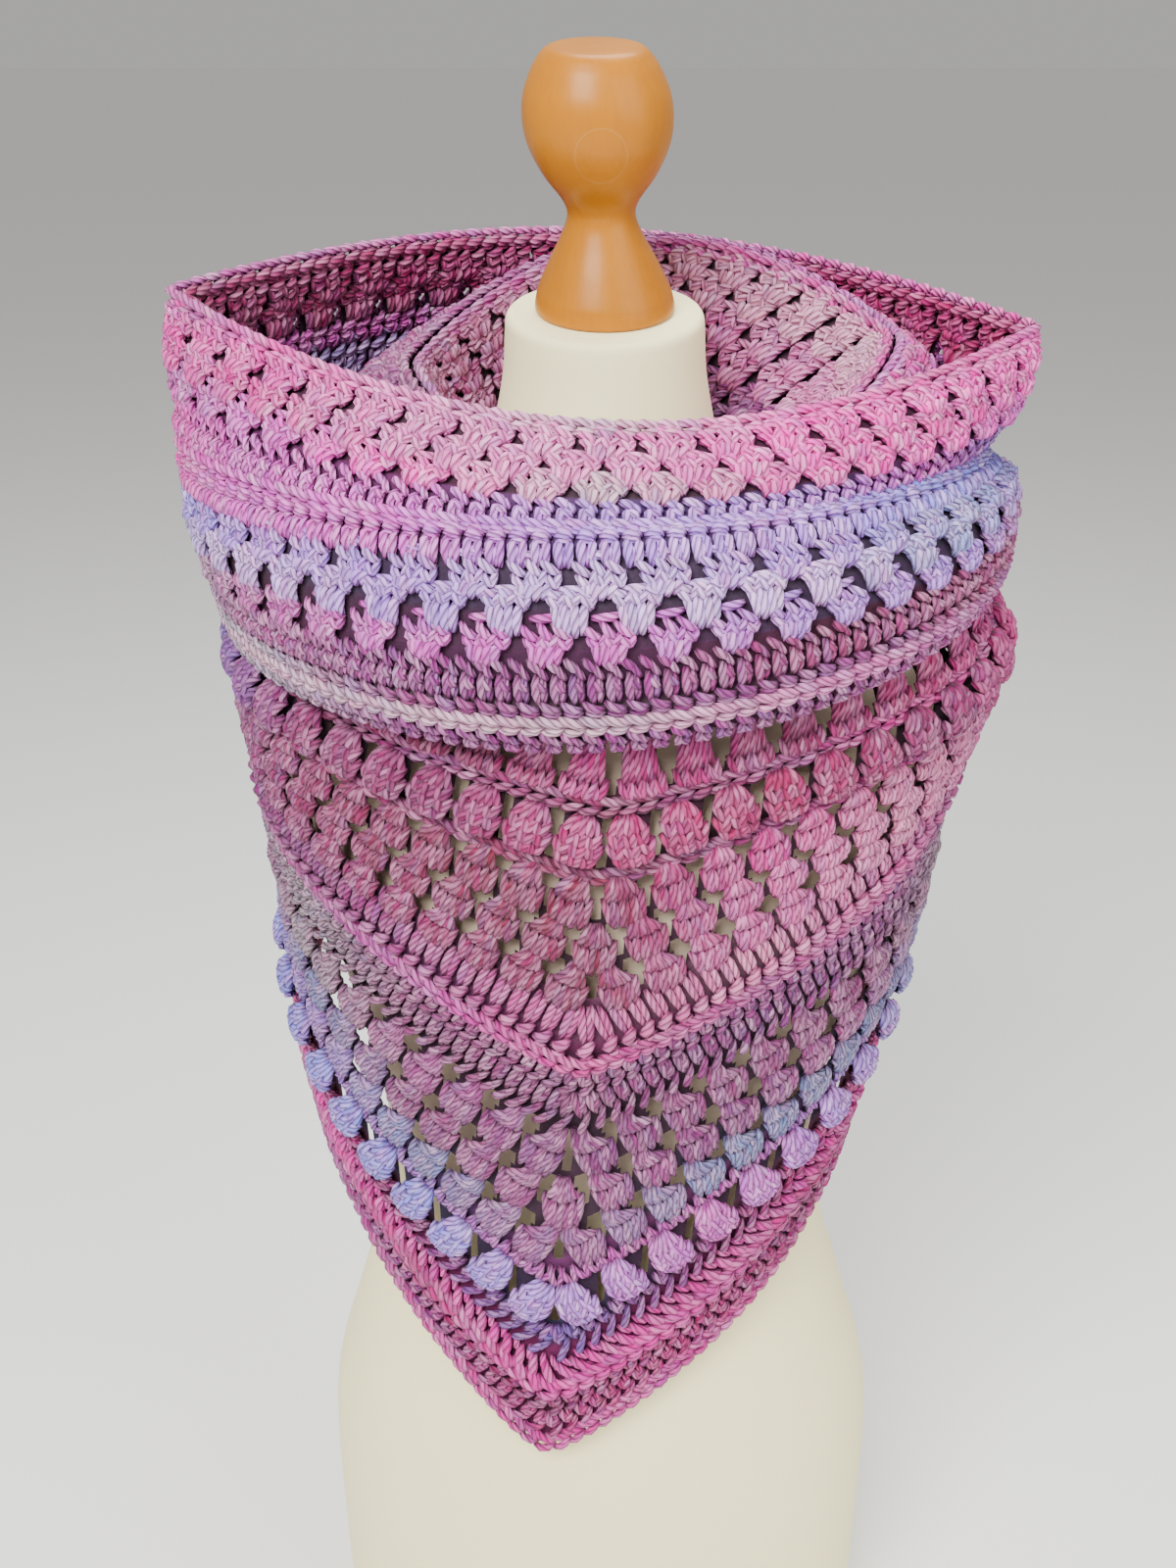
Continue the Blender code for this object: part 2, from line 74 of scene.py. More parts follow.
def smooth(rows, at):
    """Values at fractional row numbers, on a smooth curve through the rows of a table."""
    rows = np.asarray(rows, float)
    at = np.clip(np.asarray(at, float), 0.0, len(rows) - 1.0)
    first = np.minimum(at.astype(int), len(rows) - 2)
    t = (at - first)[..., None]
    ends = np.concatenate([2 * rows[:1] - rows[1:2], rows, 2 * rows[-1:] - rows[-2:-1]])
    a, b, c, d = (ends[first + k] for k in range(4))
    curve = 2 * b + (c - a) * t
    curve = curve + (2 * a - 5 * b + 4 * c - d) * t ** 2 + (3 * b - a - 3 * c + d) * t ** 3
    return 0.5 * curve


def place(x, depth, drop):
    """Points x to the right, depth in front of the form's axis and drop below its plate, in cm."""
    return np.stack([AXIS_X + x * CM, AXIS_Y - depth * CM, PLATE_HEIGHT - drop * CM], axis=-1)


def skin(bm, grid, closed):
    """A grid of faces through rows of points, joined at its sides when the rows are rounds."""
    rows, columns = grid.shape[:2]
    bmesh.ops.create_grid(bm, x_segments=columns - 1, y_segments=rows - 1, size=1.0)
    bm.verts.ensure_lookup_table()
    for vert, at in zip(bm.verts, grid.reshape(-1, 3)):
        vert.co = at
    if closed:
        bmesh.ops.remove_doubles(bm, verts=bm.verts[:], dist=1e-6)


def piece(name, bm, material):
    """A finished, smooth-shaded mesh that rides on the model."""
    mesh = bpy.data.meshes.new(name)
    bm.to_mesh(mesh)
    bm.free()
    mesh.shade_smooth()
    made = bpy.data.objects.new(name, mesh)
    bpy.context.scene.collection.objects.link(made)
    mesh.materials.append(material)
    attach(made, "root")
    return made


class Socket:
    """A node's output that can be used in sums, or in one of the maths node's operations."""

    def __init__(self, paint, output):
        self.paint, self.output = paint, output

    def maths(self, operation, *values):
        return self.paint.node("ShaderNodeMath", {"operation": operation}, *values)

    def __add__(self, other):
        return self.maths("ADD", self, other)

    def __radd__(self, other):
        return self.maths("ADD", other, self)

    def __sub__(self, other):
        return self.maths("SUBTRACT", self, other)

    def __rsub__(self, other):
        return self.maths("SUBTRACT", other, self)

    def __mul__(self, other):
        return self.maths("MULTIPLY", self, other)

    def __rmul__(self, other):
        return self.maths("MULTIPLY", other, self)

    def __truediv__(self, other):
        return self.maths("DIVIDE", self, other)

    def __pow__(self, other):
        return self.maths("POWER", self, other)

    def below(self, other):
        return self.maths("LESS_THAN", self, other)

    def size(self):
        return self.maths("ABSOLUTE", self)

    def sine(self):
        return self.maths("SINE", self)

    def fraction(self):
        return self.maths("FRACT", self)

    def whole(self):
        return self.maths("FLOOR", self)

    def clamped(self):
        return self.paint.node("ShaderNodeClamp", {}, self)


class Paint:
    """A material and the nodes that drive its shader."""

    def __init__(self, name, **constants):
        self.material = bpy.data.materials.new(name)
        self.material.use_nodes = True
        self.tree = self.material.node_tree
        self.shader = self.tree.nodes["Principled BSDF"]
        for key, value in constants.items():
            self.shader.inputs[key.replace("_", " ")].default_value = value

    def node(self, kind, settings, *values, out=0, **named):
        """Add a node, set it up, then join or fill its inputs in order or by name."""
        made = self.tree.nodes.new(kind)
        for key, value in settings.items():
            setattr(made, key, value)
        for key, value in list(enumerate(values)) + [(k.replace("_", " "), v) for k, v in named.items()]:
            self.fill(made.inputs[key], value)
        return Socket(self, made.outputs[out])

    def fill(self, socket, value):
        if isinstance(value, Socket):
            self.tree.links.new(value.output, socket)
        else:
            socket.default_value = value

    def mix(self, a, b, share, blend="MIX"):
        made = self.tree.nodes.new("ShaderNodeMix")
        made.data_type, made.blend_type = "RGBA", blend
        self.fill(made.inputs[0], share)
        for socket, value in ((made.inputs[6], a), (made.inputs[7], b)):
            self.fill(socket, value if isinstance(value, Socket) else (*value, 1.0))
        return Socket(self, made.outputs[2])

    def noise(self, at, scale, detail=2.0):
        return self.node("ShaderNodeTexNoise", {}, Vector=at, Scale=scale, Detail=detail)

    def where(self):
        return self.node("ShaderNodeTexCoord", {}, out=3)

    def part(self, vector, axis):
        return self.node("ShaderNodeSeparateXYZ", {}, vector, out=axis)

    def stored(self, name, out):
        return self.node("ShaderNodeAttribute", {"attribute_name": name}, out=out)

    def bump(self, height, distance, strength=1.0):
        return self.node("ShaderNodeBump", {}, Strength=strength, Distance=distance, Height=height)

    def set(self, **inputs):
        for key, value in inputs.items():
            self.fill(self.shader.inputs[key.replace("_", " ")], value)
        return self.material


def jersey():
    """Fine cream rib, painted a little pink under the scarf for the light that the pink yarn reflects on it.
    """
    paint = Paint("jersey", Roughness=0.85, Sheen_Weight=0.08)
    at = paint.where()
    tone = paint.noise(at, 9.0)
    z = paint.part(at, 2)
    rib = (z * JERSEY_RIBS).sine()
    # Painted reflection: pinker where the scarf hangs over the jersey.
    painted_pink_bounce = ((z - PINK_BOUNCE_FROM) * 14.0).clamped() * ((PINK_BOUNCE_TO - z) * 20.0).clamped()
    colour = paint.mix(JERSEY_CREAM, JERSEY_PINK_BOUNCE, painted_pink_bounce)
    colour = paint.mix(colour, JERSEY_SHADED, tone * 0.35)
    return paint.set(Base_Color=colour, Normal=paint.bump(rib + paint.noise(at, 900.0), 0.0002, 0.15))


angle = np.linspace(0.0, math.tau, FORM_COLUMNS + 1)
rings = smooth(FORM_RINGS, np.linspace(0, len(FORM_RINGS) - 1, 4 * len(FORM_RINGS)))[:, None, :]
drop, half_width, front, back = (rings[..., k] for k in range(4))
grid = place(half_width * np.sin(angle), np.where(np.cos(angle) > 0, front, back) * np.cos(angle),
             drop + 0 * angle)
lean = np.clip(1.0 - (PLATE_HEIGHT - grid[..., 2]) / (NECK_BASE_DROP * CM), 0.0, 1.0)
grid[..., 2] += (grid[..., 1] - AXIS_Y) * math.tan(NECK_TILT) * lean
grid[..., 1] += NECK_PLATE_Y * lean
grid[..., 2] = np.maximum(grid[..., 2], 0.0)
form = bmesh.new()
skin(form, grid, True)
bmesh.ops.holes_fill(form, edges=[edge for edge in form.edges if edge.is_boundary], sides=0)
bmesh.ops.recalc_face_normals(form, faces=form.faces[:])
form_object = piece("form_jersey", form, jersey())
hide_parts("form_body")

# Wooden knob: turned maple under satin varnish, standing on the neck plate and leaning with it.
# Its grain runs up the axis, with a round plug of the same wood let into the ball in front.
# The profile is spun. Its radius and height are in cm.
KNOB_PROFILE = (
    (3.30, 0.0), (3.46, 0.08), (3.50, 0.3), (3.42, 0.75), (3.28, 1.2), (2.68, 2.5), (2.05, 3.7),
    (1.68, 4.7), (1.88, 5.5), (2.75, 6.7), (3.38, 8.0), (3.60, 9.2), (3.48, 10.4), (3.03, 11.5),
    (2.66, 12.05), (2.42, 12.3), (2.2, 12.42), (2.0, 12.46),
)
KNOB_SIDE_LEAN = math.radians(-2.4)
SEAT_GAP = 0.0003
PLUG_RADIUS = 0.0122
PLUG_RING_SHARPNESS = 2200.0
PLUG_EDGE = (0.45, 0.22, 0.07)
PLUG_HEIGHT = 0.0830
PLUG_ASIDE = 0.001
BALL_RADIUS = 0.034
KNOB_STEPS = 72
GRAIN_STRETCH = 0.16
MAPLE_LIGHT = (0.46, 0.165, 0.002)
MAPLE_DARK = (0.29, 0.085, 0.001)


def maple():
    """Honey-coloured wood, its grain drawn out along the axis, with the plug's fine dark ring."""
    paint = Paint("maple", Roughness=0.38, Specular_IOR_Level=0.22, Coat_Weight=0.06, Coat_Roughness=0.2)
    at = paint.where()
    stretched = paint.node("ShaderNodeMapping", {}, at, Scale=(1.0, 1.0, GRAIN_STRETCH))
    broad = paint.noise(stretched, 38.0, 3.0)
    fine = paint.noise(stretched, 420.0, 2.0)
    grain = (broad * 0.9 + fine * 0.35 - 0.35).clamped()
    away = ((paint.part(at, 0) - plug.x) ** 2.0 + (paint.part(at, 2) - plug.z) ** 2.0) ** 0.5
    ring = (1.0 - (away - PLUG_RADIUS).size() * PLUG_RING_SHARPNESS).clamped()
    ring = ring * paint.part(at, 1).below(AXIS_Y)
    colour = paint.mix(MAPLE_LIGHT, MAPLE_DARK, grain)
    colour = paint.mix(colour, PLUG_EDGE, ring * 0.45)
    return paint.set(Base_Color=colour, Normal=paint.bump(fine, 0.0002, 0.15))


seat = Vector((AXIS_X, AXIS_Y + NECK_PLATE_Y, PLATE_HEIGHT + SEAT_GAP))
knob_place = (Matrix.Translation(seat) @ Matrix.Rotation(NECK_TILT, 4, "X")
              @ Matrix.Shear("XY", 4, (math.tan(KNOB_SIDE_LEAN), 0.0)))
plug = knob_place @ Vector((PLUG_ASIDE, -BALL_RADIUS, PLUG_HEIGHT))
knob = bmesh.new()
outline = smooth(KNOB_PROFILE, np.linspace(0, len(KNOB_PROFILE) - 1, 5 * len(KNOB_PROFILE)))
chain = [knob.verts.new((0.0, 0.0, outline[0][1] * CM))]
chain += [knob.verts.new((radius * CM, 0.0, height * CM)) for radius, height in outline]
chain += [knob.verts.new((0.0, 0.0, outline[-1][1] * CM))]
edges = [knob.edges.new(pair) for pair in zip(chain, chain[1:])]
bmesh.ops.spin(knob, geom=chain + edges, axis=(0, 0, 1), cent=(0, 0, 0), angle=math.tau,
               steps=KNOB_STEPS, use_merge=True)
bmesh.ops.remove_doubles(knob, verts=knob.verts[:], dist=1e-6)
bmesh.ops.recalc_face_normals(knob, faces=knob.faces[:])
bmesh.ops.transform(knob, matrix=knob_place, verts=knob.verts[:])
knob_object = piece("knob_maple", knob, maple())
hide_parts("neck_knob")

# Hood, worn down: one crocheted round that falls from the rim to a low fold, turns under and
# climbs inside to the crest round the neck. The cloth is the thin web that the stitches make
# where they lock into each other, and the yarn on it is laid stitch by stitch further down.
HOOD_SECTIONS = (
    # half width, shift, front, back, corner, drop at front, side, back, right side lower
    (21.7, 0.0, 11.0, 13.5, 2.0, 3.7, 0.1, -2.1, 0.9),
    (21.8, 0.0, 12.0, 14.0, 1.85, 4.5, 1.4, -0.8, 0.8),
    (21.8, -0.2, 12.6, 14.4, 1.75, 5.1, 2.2, 0.0, 0.7),
    (21.6, -0.3, 13.3, 14.9, 1.65, 5.9, 3.6, 1.3, 0.6),
    (21.3, -0.5, 13.8, 15.2, 1.55, 6.5, 4.6, 2.1, 0.5),
    (20.8, -1.1, 14.3, 15.6, 1.45, 7.0, 6.1, 3.5, 0.3),
    (20.6, -1.2, 14.5, 15.8, 1.4, 7.5, 7.0, 4.4, 0.0),
    (20.9, -0.8, 15.0, 16.1, 1.35, 8.1, 7.9, 5.4, -0.2),
    (21.3, -0.3, 15.6, 16.7, 1.3, 9.6, 8.9, 7.8, -0.6),
    (21.3, -0.2, 15.9, 17.1, 1.25, 10.3, 9.5, 9.0, -0.8),
    (21.1, 0.1, 16.3, 17.9, 1.2, 11.9, 10.8, 11.8, -1.1),
    (21.0, 0.2, 16.5, 18.3, 1.2, 12.7, 11.5, 13.2, -1.2),
    (20.8, 0.4, 16.5, 18.7, 1.15, 14.4, 12.6, 16.4, -1.4),
    (20.5, 0.5, 16.1, 18.5, 1.1, 16.2, 13.8, 19.0, -1.5),
    (20.1, 0.5, 15.2, 17.6, 1.1, 17.4, 14.6, 20.4, -1.5),
    (19.6, 0.5, 14.2, 16.5, 1.1, 16.9, 14.0, 19.9, -1.4),
    (19.2, 0.4, 13.9, 15.7, 1.1, 14.6, 11.7, 16.5, -1.0),
    (16.4, 0.8, 12.3, 13.4, 1.15, 11.0, 7.7, 8.4, -0.6),
    (14.2, 1.9, 10.9, 9.6, 1.0, 8.6, 3.6, 0.4, -0.5),
    (12.3, 2.3, 9.7, 7.7, 1.0, 7.8, 2.3, -2.3, -0.6),
)
ROW_STEPS = 10
HALF_COLUMNS = 240
FINE_COLUMNS = 480


class Cloth:
    """A round of cloth: along runs from -1 at the middle back by the left side to 0 in front and
    on to 1, in equal steps along the cloth on each side, and row is a number in its table."""

    def __init__(self, rounds, last_row):
        self.rows = np.linspace(0.0, last_row, int(last_row * ROW_STEPS) + 1)
        right = self.even(rounds(self.rows[:, None], np.linspace(0.0, math.pi, FINE_COLUMNS + 1)))
        left = self.even(rounds(self.rows[:, None], np.linspace(0.0, -math.pi, FINE_COLUMNS + 1)))
        self.points = np.concatenate([left[:, :0:-1], right], axis=1)
        down = np.gradient(self.points, axis=0)
        joined = np.concatenate([self.points[:, -3:-1], self.points, self.points[:, 1:3]], axis=1)
        across = (joined[:, 4:] - joined[:, :-4]) / 4.0
        self.normals = np.cross(down, across)
        self.normals /= np.linalg.norm(self.normals, axis=-1, keepdims=True)

    def even(self, fine):
        """The same lines, with their points at equal steps."""
        steps = np.linalg.norm(np.diff(fine, axis=1), axis=-1)
        lengths = np.concatenate([np.zeros((len(fine), 1)), np.cumsum(steps, axis=1)], axis=1)
        wanted = np.linspace(0.0, 1.0, HALF_COLUMNS + 1)
        made = np.empty((len(fine), HALF_COLUMNS + 1, 3))
        for row in range(len(fine)):
            for k in range(3):
                made[row, :, k] = np.interp(wanted * lengths[row, -1], lengths[row], fine[row, :, k])
        return made

    def sample(self, table, row, along):
        """Values of a table of points or normals between its rows and columns."""
        along = (along + 1.0) % 2.0 - 1.0
        u = (along + 1.0) * HALF_COLUMNS
        v = np.clip(row, 0.0, self.rows[-1]) * ROW_STEPS
        i = np.clip(v.astype(int), 0, len(self.rows) - 2)
        j = np.clip(u.astype(int), 0, 2 * HALF_COLUMNS - 1)
        a, b = (v - i)[..., None], (u - j)[..., None]
        return ((table[i, j] * (1 - b) + table[i, j + 1] * b) * (1 - a)
                + (table[i + 1, j] * (1 - b) + table[i + 1, j + 1] * b) * a)

    def half_length(self, row):
        steps = np.linspace(0.0, 1.0, HALF_COLUMNS + 1)
        line = self.sample(self.points, np.full(steps.shape, float(row)), steps)
        return float(np.linalg.norm(np.diff(line, axis=0), axis=-1).sum())


def rounds_through(sections, row, angle):
    """Points of rounds, each an oval with its own front, back and corners and its own dips."""
    params = smooth(sections, row[:, 0])[:, None, :]
    half_width, shift, front, back, corner, at_front, at_side, at_back, lower = (
        params[..., k] for k in range(9))
    c, s = np.cos(angle), np.sin(angle)
    depth = np.where(c > 0, front, back) * np.sign(c) * np.abs(c) ** corner
    drop = at_side + (np.where(c > 0, at_front, at_back) - at_side) * c ** 2 + lower * s
    return place(half_width * s + shift, depth, drop)


hood = Cloth(lambda row, angle: rounds_through(HOOD_SECTIONS, row, angle), len(HOOD_SECTIONS) - 1)

# The hood's rows of stitches, outside and then inside:
# stitch, first row, last row, pitch in cm, half a pitch off the front, dye from left to right
HOOD_UPPER = (
    ("chain", -0.35, 0.35, 0.95, 0, "mauve rose dusty grey_pink hot_pink magenta rose"),
    ("fan", 0.25, 1.75, 2.75, 0, "rose rose dusty dusty hot_pink hot_pink hot_pink"),
    ("fan", 1.45, 2.95, 2.75, 1, "rose magenta dusty dusty hot_pink magenta hot_pink"),
    ("fan", 2.55, 4.05, 2.75, 0, "mauve orchid hot_pink grey_pink rose hot_pink orchid"),
    ("tall", 3.85, 5.35, 0.98, 0, "rose orchid orchid lilac lilac orchid slate"),
    ("chain", 5.25, 6.10, 1.00, 0, "rose orchid orchid lilac lilac periwinkle periwinkle"),
    ("wrapped", 6.05, 7.50, 1.02, 0, "rose orchid orchid lilac lilac periwinkle slate"),
)
HOOD_LOWER = (
    ("bunch", 7.35, 8.85, 2.9, 0, "periwinkle lilac lilac pale_lilac lilac blue_grey slate"),
    ("bunch", 8.40, 9.85, 2.9, 1, "blue_grey pale_lilac lilac pale_lilac pale_lilac blue_grey lilac"),
    ("bunch", 9.55, 11.20, 2.9, 0, "sage mauve orchid orchid lilac lilac heather"),
    # The next two rows end in plum and wine at the right, darker there as painted shade under the hood's
    # fold.
    ("tall", 11.05, 12.20, 0.85, 0, "sage heather plum plum wine wine wine"),
    ("short", 12.15, 12.65, 1.0, 0, "sage sage heather plum plum wine wine"),
    ("chain", 12.60, 13.10, 1.0, 0, "grey_pink grey_pink grey_pink grey_pink dusty mauve heather"),
    ("tall", 13.10, 14.20, 1.0, 0, "sage sage plum plum plum mauve mauve"),
)
HOOD_INSIDE = (
    ("cord", -0.35, 0.35, 0.95, 0, "wine wine magenta raspberry raspberry raspberry magenta"),
    ("fan", 0.25, 1.75, 2.75, 0, "wine wine magenta raspberry magenta raspberry magenta"),
    ("fan", 1.45, 2.95, 2.75, 1, "wine wine magenta raspberry magenta raspberry raspberry"),
)
HOOD_INSIDE_LOW = (
    ("tall", 2.90, 4.20, 0.98, 0, "orchid periwinkle slate raspberry magenta raspberry rose"),
    ("fan", 4.10, 5.90, 2.75, 1, "blue_grey periwinkle slate blue_grey slate mauve rose"),
    ("fan", 5.70, 7.50, 2.75, 0, "blue_grey periwinkle slate slate blue_grey mauve mauve"),
)
HOOD_FALL = tuple(
    ("fan", 16.3 + 0.3 * step, 16.75 + 0.3 * step, 2.7, step % 2, shades) for step, shades in enumerate((
        "plum slate mauve plum plum mauve mauve", "mauve slate mauve plum mauve rose mauve",
        "mauve mauve mauve mauve mauve rose rose", "heather mauve mauve mauve rose rose rose",
        "heather mauve mauve mauve rose orchid orchid", "heather heather mauve rose rose orchid orchid",
        "heather heather dusty rose rose orchid rose", "heather mauve rose rose rose rose rose",
    ))) + (("chain", 18.72, 19.05, 0.95, 0, "heather heather mauve mauve rose orchid orchid"),)

# Collar: the crest round the neck goes on down inside, in the same staggered clusters, to the base
# of the neck, where the yoke begins. It is one crocheted round of chunky yarn, wide above and
# snug below, and only its inner face shows.
COLLAR_SECTIONS = (
    # the same columns as in HOOD_SECTIONS
    (12.26, 2.3, 9.66, 7.66, 1.0, 7.8, 2.3, -2.3, -0.6), (10.7, 1.7, 8.5, 7.1, 1.0, 8.0, 4.2, 0.6, -0.5),
    (8.4, 0.7, 7.3, 6.8, 1.0, 8.4, 6.6, 4.6, -0.2), (7.0, 0.1, 6.75, 6.75, 1.0, 8.8, 8.5, 8.1, 0.0),
    (6.9, 0.0, 6.62, 6.62, 1.0, 9.17, 9.17, 9.17, 0.0),
)
collar = Cloth(lambda row, angle: rounds_through(COLLAR_SECTIONS, row, angle), len(COLLAR_SECTIONS) - 1)
COLLAR_INSIDE = (("chain", -0.12, 0.15, 0.95, 0, "mauve mauve mauve mauve rose rose rose"),) + tuple(
    ("fan", 0.08 + 0.42 * step, 0.62 + 0.42 * step, 2.6, step % 2, shades) for step, shades in enumerate((
        "wine wine plum rose dusty dusty pale_pink", "wine wine plum mauve dusty dusty pale_pink",
        "wine wine plum mauve dusty rose dusty", "wine plum plum mauve dusty hot_pink dusty",
        "plum plum plum mauve mauve mauve plum", "plum plum plum plum mauve mauve plum",
        "plum plum plum plum plum plum plum",
    )))

# Yoke and pointed panel: worked down in a V from the collar, over the shoulders and round the
# back, in the same yarn as the hood. BODY_SECTIONS is the drape that it hangs in, and each of its
# rows runs along that drape in a V with its point in front.
BODY_SECTIONS = np.array((
    # drop, half width, shift, front, back
    (9.2, 6.94, 0.0, 6.66, 6.66), (9.5, 8.2, 0.0, 7.3, 7.3), (9.95, 9.9, 0.0, 7.9, 7.9),
    (10.8, 12.6, 0.0, 8.9, 9.1), (12.2, 15.8, 0.2, 10.2, 10.4), (14.3, 19.0, 0.7, 11.8, 11.9),
    (16.5, 20.1, 0.8, 12.6, 12.6), (18.7, 20.4, 0.7, 13.2, 13.1), (22.1, 19.6, 0.4, 13.5, 13.4),
    (26.0, 18.8, 0.0, 13.7, 13.4), (31.0, 18.1, 0.0, 13.8, 13.1), (36.0, 17.4, -0.4, 13.5, 12.7),
    (41.0, 16.6, -0.8, 13.1, 12.3), (45.0, 16.0, -1.0, 12.8, 11.9), (50.0, 15.4, -1.1, 12.4, 11.5),
    (57.0, 15.3, -1.0, 12.3, 11.3), (64.0, 15.6, -0.9, 12.4, 11.4),
))
BODY_ROWS = (
    # drop at the tip, the sides and the back, right side lower
    (9.2, 9.2, 9.2, 0.0), (11.2, 10.3, 9.9, 0.0), (14.0, 11.7, 10.6, 0.0), (17.2, 13.2, 11.4, 0.0),
    (20.4, 14.9, 12.3, 0.0), (21.3, 15.5, 12.6, 0.0), (23.2, 16.7, 13.2, 0.0),
    (25.0, 17.8, 13.8, 0.0), (25.9, 18.4, 14.1, 0.0), (27.8, 19.5, 14.7, 0.0),
    (28.7, 20.1, 15.0, 0.0), (30.4, 21.1, 15.5, 0.0), (31.3, 21.7, 15.8, 0.0),
    (33.3, 23.0, 16.3, 0.0), (36.2, 24.7, 17.0, 0.0), (38.0, 26.0, 17.5, 0.0),
    (40.7, 27.9, 18.2, 0.2), (41.7, 28.6, 18.5, 0.2), (43.9, 30.2, 19.0, 0.3),
    (44.9, 30.9, 19.3, 0.4), (47.2, 32.6, 20.0, 0.6), (48.2, 33.3, 20.3, 0.7),
    (51.0, 35.4, 21.3, 0.9), (52.9, 36.7, 22.0, 1.1), (54.9, 38.2, 22.8, 1.3),
    (58.2, 40.6, 24.4, 1.7), (60.0, 42.0, 25.9, 1.9), (62.6, 43.9, 28.0, 2.1),
)
V_TURN = math.radians(-9.0)
V_TURN_GROWTH = 2.2
TIP_ROUNDING = 0.014
BACK_ROUNDING = 0.10
BACK_FULLNESS = 0.88


def body_rounds(row, angle):
    """Points of the V-shaped rows: each drop's oval, with the V's point turned to one side."""
    tip, side, back, lower = (smooth(BODY_ROWS, row[:, 0])[:, k, None] for k in range(4))
    share = np.abs(angle) / math.pi
    near = ((np.hypot(share, TIP_ROUNDING) - TIP_ROUNDING)
            / (math.hypot(1.0, TIP_ROUNDING) - TIP_ROUNDING))
    eased = 1.0 - ((np.hypot(1.0 - near, BACK_ROUNDING) - BACK_ROUNDING)
                   / (math.hypot(1.0, BACK_ROUNDING) - BACK_ROUNDING))
    drop = (tip + (4 * side - 3 * tip - back) * eased + (2 * tip + 2 * back - 4 * side) * eased ** 2
            + lower * np.sin(angle))
    turned = angle + V_TURN * (tip / BODY_ROWS[-1][0]) ** V_TURN_GROWTH * np.cos(angle / 2) ** 2
    half_width, shift, front, rear = (np.interp(drop, BODY_SECTIONS[:, 0], BODY_SECTIONS[:, k])
                                      for k in range(1, 5))
    c, s = np.cos(turned), np.sin(turned)
    full = np.where(c > 0, 1.0, BACK_FULLNESS)
    x = half_width * np.sign(s) * np.abs(s) ** full + shift
    depth = np.where(c > 0, front, rear) * np.sign(c) * np.abs(c) ** full
    return place(x, depth, drop)


body = Cloth(body_rounds, len(BODY_ROWS) - 1)

BODY_UPPER = (
    ("shell", 2.8, 4.8, 2.6, 1, "wine raspberry beet magenta wine raspberry rose"),
    ("chain", 4.65, 5.35, 0.9, 0, "plum wine heather beet heather rose mauve"),
    ("chain", 6.75, 7.35, 0.9, 0, "raspberry raspberry wine beet heather rose mauve"),
    ("shell", 7.1, 9.2, 2.5, 1, "plum wine beet beet rose pale_pink dusty"),
    ("shell", 8.9, 11.0, 2.5, 0, "plum wine beet beet dusty pale_pink dusty"),
    ("shell", 10.75, 12.85, 2.5, 1, "plum wine wine beet dusty pale_pink dusty"),
    ("post", 12.55, 13.8, 1.0, 0, "plum plum mauve dusty pale_pink dusty plum"),
    ("chain", 13.75, 14.15, 0.9, 0, "mauve mauve orchid rose mauve dusty mauve"),
)
BODY_LOWER = (
    ("tall_down", 14.1, 14.9, 0.85, 1, "sage sage heather heather plum plum heather"),
    ("tall_down", 14.85, 15.85, 0.85, 1, "heather sage heather heather plum plum sage"),
    ("shell", 15.75, 17.95, 2.6, 1, "heather sage mauve plum heather heather sage"),
    ("shell", 17.75, 19.9, 2.6, 0, "mauve blue_grey heather mauve plum mauve blue_grey"),
    ("shell", 19.7, 21.75, 2.6, 1, "periwinkle lilac blue_grey mauve blue_grey blue_grey slate"),
    ("single", 21.55, 22.05, 0.8, 0, "lilac lilac lilac orchid orchid lilac lilac"),
)
BORDER = (
    ("tall_down", 23.5, 24.45, 1.0, 1, "raspberry raspberry heather slate heather raspberry raspberry"),
    ("knot", 24.35, 24.95, 1.0, 0, "hot_pink hot_pink hot_pink hot_pink rose hot_pink hot_pink"),
    ("ridge", 24.75, 25.35, 1.1, 0, "raspberry hot_pink raspberry hot_pink rose raspberry hot_pink"),
    ("tall_down", 25.35, 26.1, 1.0, 1, "rose heather raspberry wine raspberry wine magenta"),
    ("tall_down", 26.05, 26.75, 1.0, 1, "rose heather heather raspberry raspberry wine magenta"),
    ("chain", 26.65, 27.15, 1.0, 0, "hot_pink mauve rose rose rose raspberry hot_pink"),
)
BOBBLES_HIGH = (
    ("bobble", 5.3, 6.85, 2.55, 1, "periwinkle heather heather magenta raspberry heather rose"),
)
BOBBLES_LOW = (
    ("bobble", 21.95, 23.55, 2.9, 1, "periwinkle periwinkle periwinkle lilac orchid lilac blue_grey"),
)

# Yarn: chunky, soft, of five plies twisted together and dyed in long runs that shade from pink
# through lilac to blue grey and plum. A strand is a bevelled curve 4 mm thick. Its plies are
# in the material, which knows how far round and how far along the strand it is.
YARN_RADIUS = 0.0019
YARN_SIDES = 5
PLY_LENGTH = 0.026  # one turn of the plies
PLIES = 5
SHADES = {
    "hot_pink": (214, 86, 174), "magenta": (186, 60, 146), "rose": (198, 102, 160),
    "dusty": (204, 144, 178), "pale_pink": (222, 182, 196), "orchid": (196, 128, 184),
    "lilac": (178, 152, 208), "pale_lilac": (204, 184, 220), "periwinkle": (150, 152, 208),
    "slate": (124, 124, 168), "blue_grey": (146, 154, 188), "sage": (156, 150, 156),
    "plum": (134, 84, 124), "mauve": (166, 112, 150), "grey_pink": (192, 170, 178),
    "wine": (136, 42, 104), "raspberry": (172, 66, 128), "heather": (146, 96, 128),
    "beet": (124, 18, 82),
}
PLY_TINTS = np.array([(0.86, 0.58, 0.80), (0.56, 0.07, 0.36), (0.30, 0.22, 0.52), (0.76, 0.40, 0.60)])
TINT_SHARE = 0.28
TINT_SPREAD = (0.86, 1.12)
LIGHT_PLY, GREY_PLY, PLUM_PATCH = (0.88, 0.48, 0.72), (0.30, 0.22, 0.34), (0.40, 0.12, 0.28)
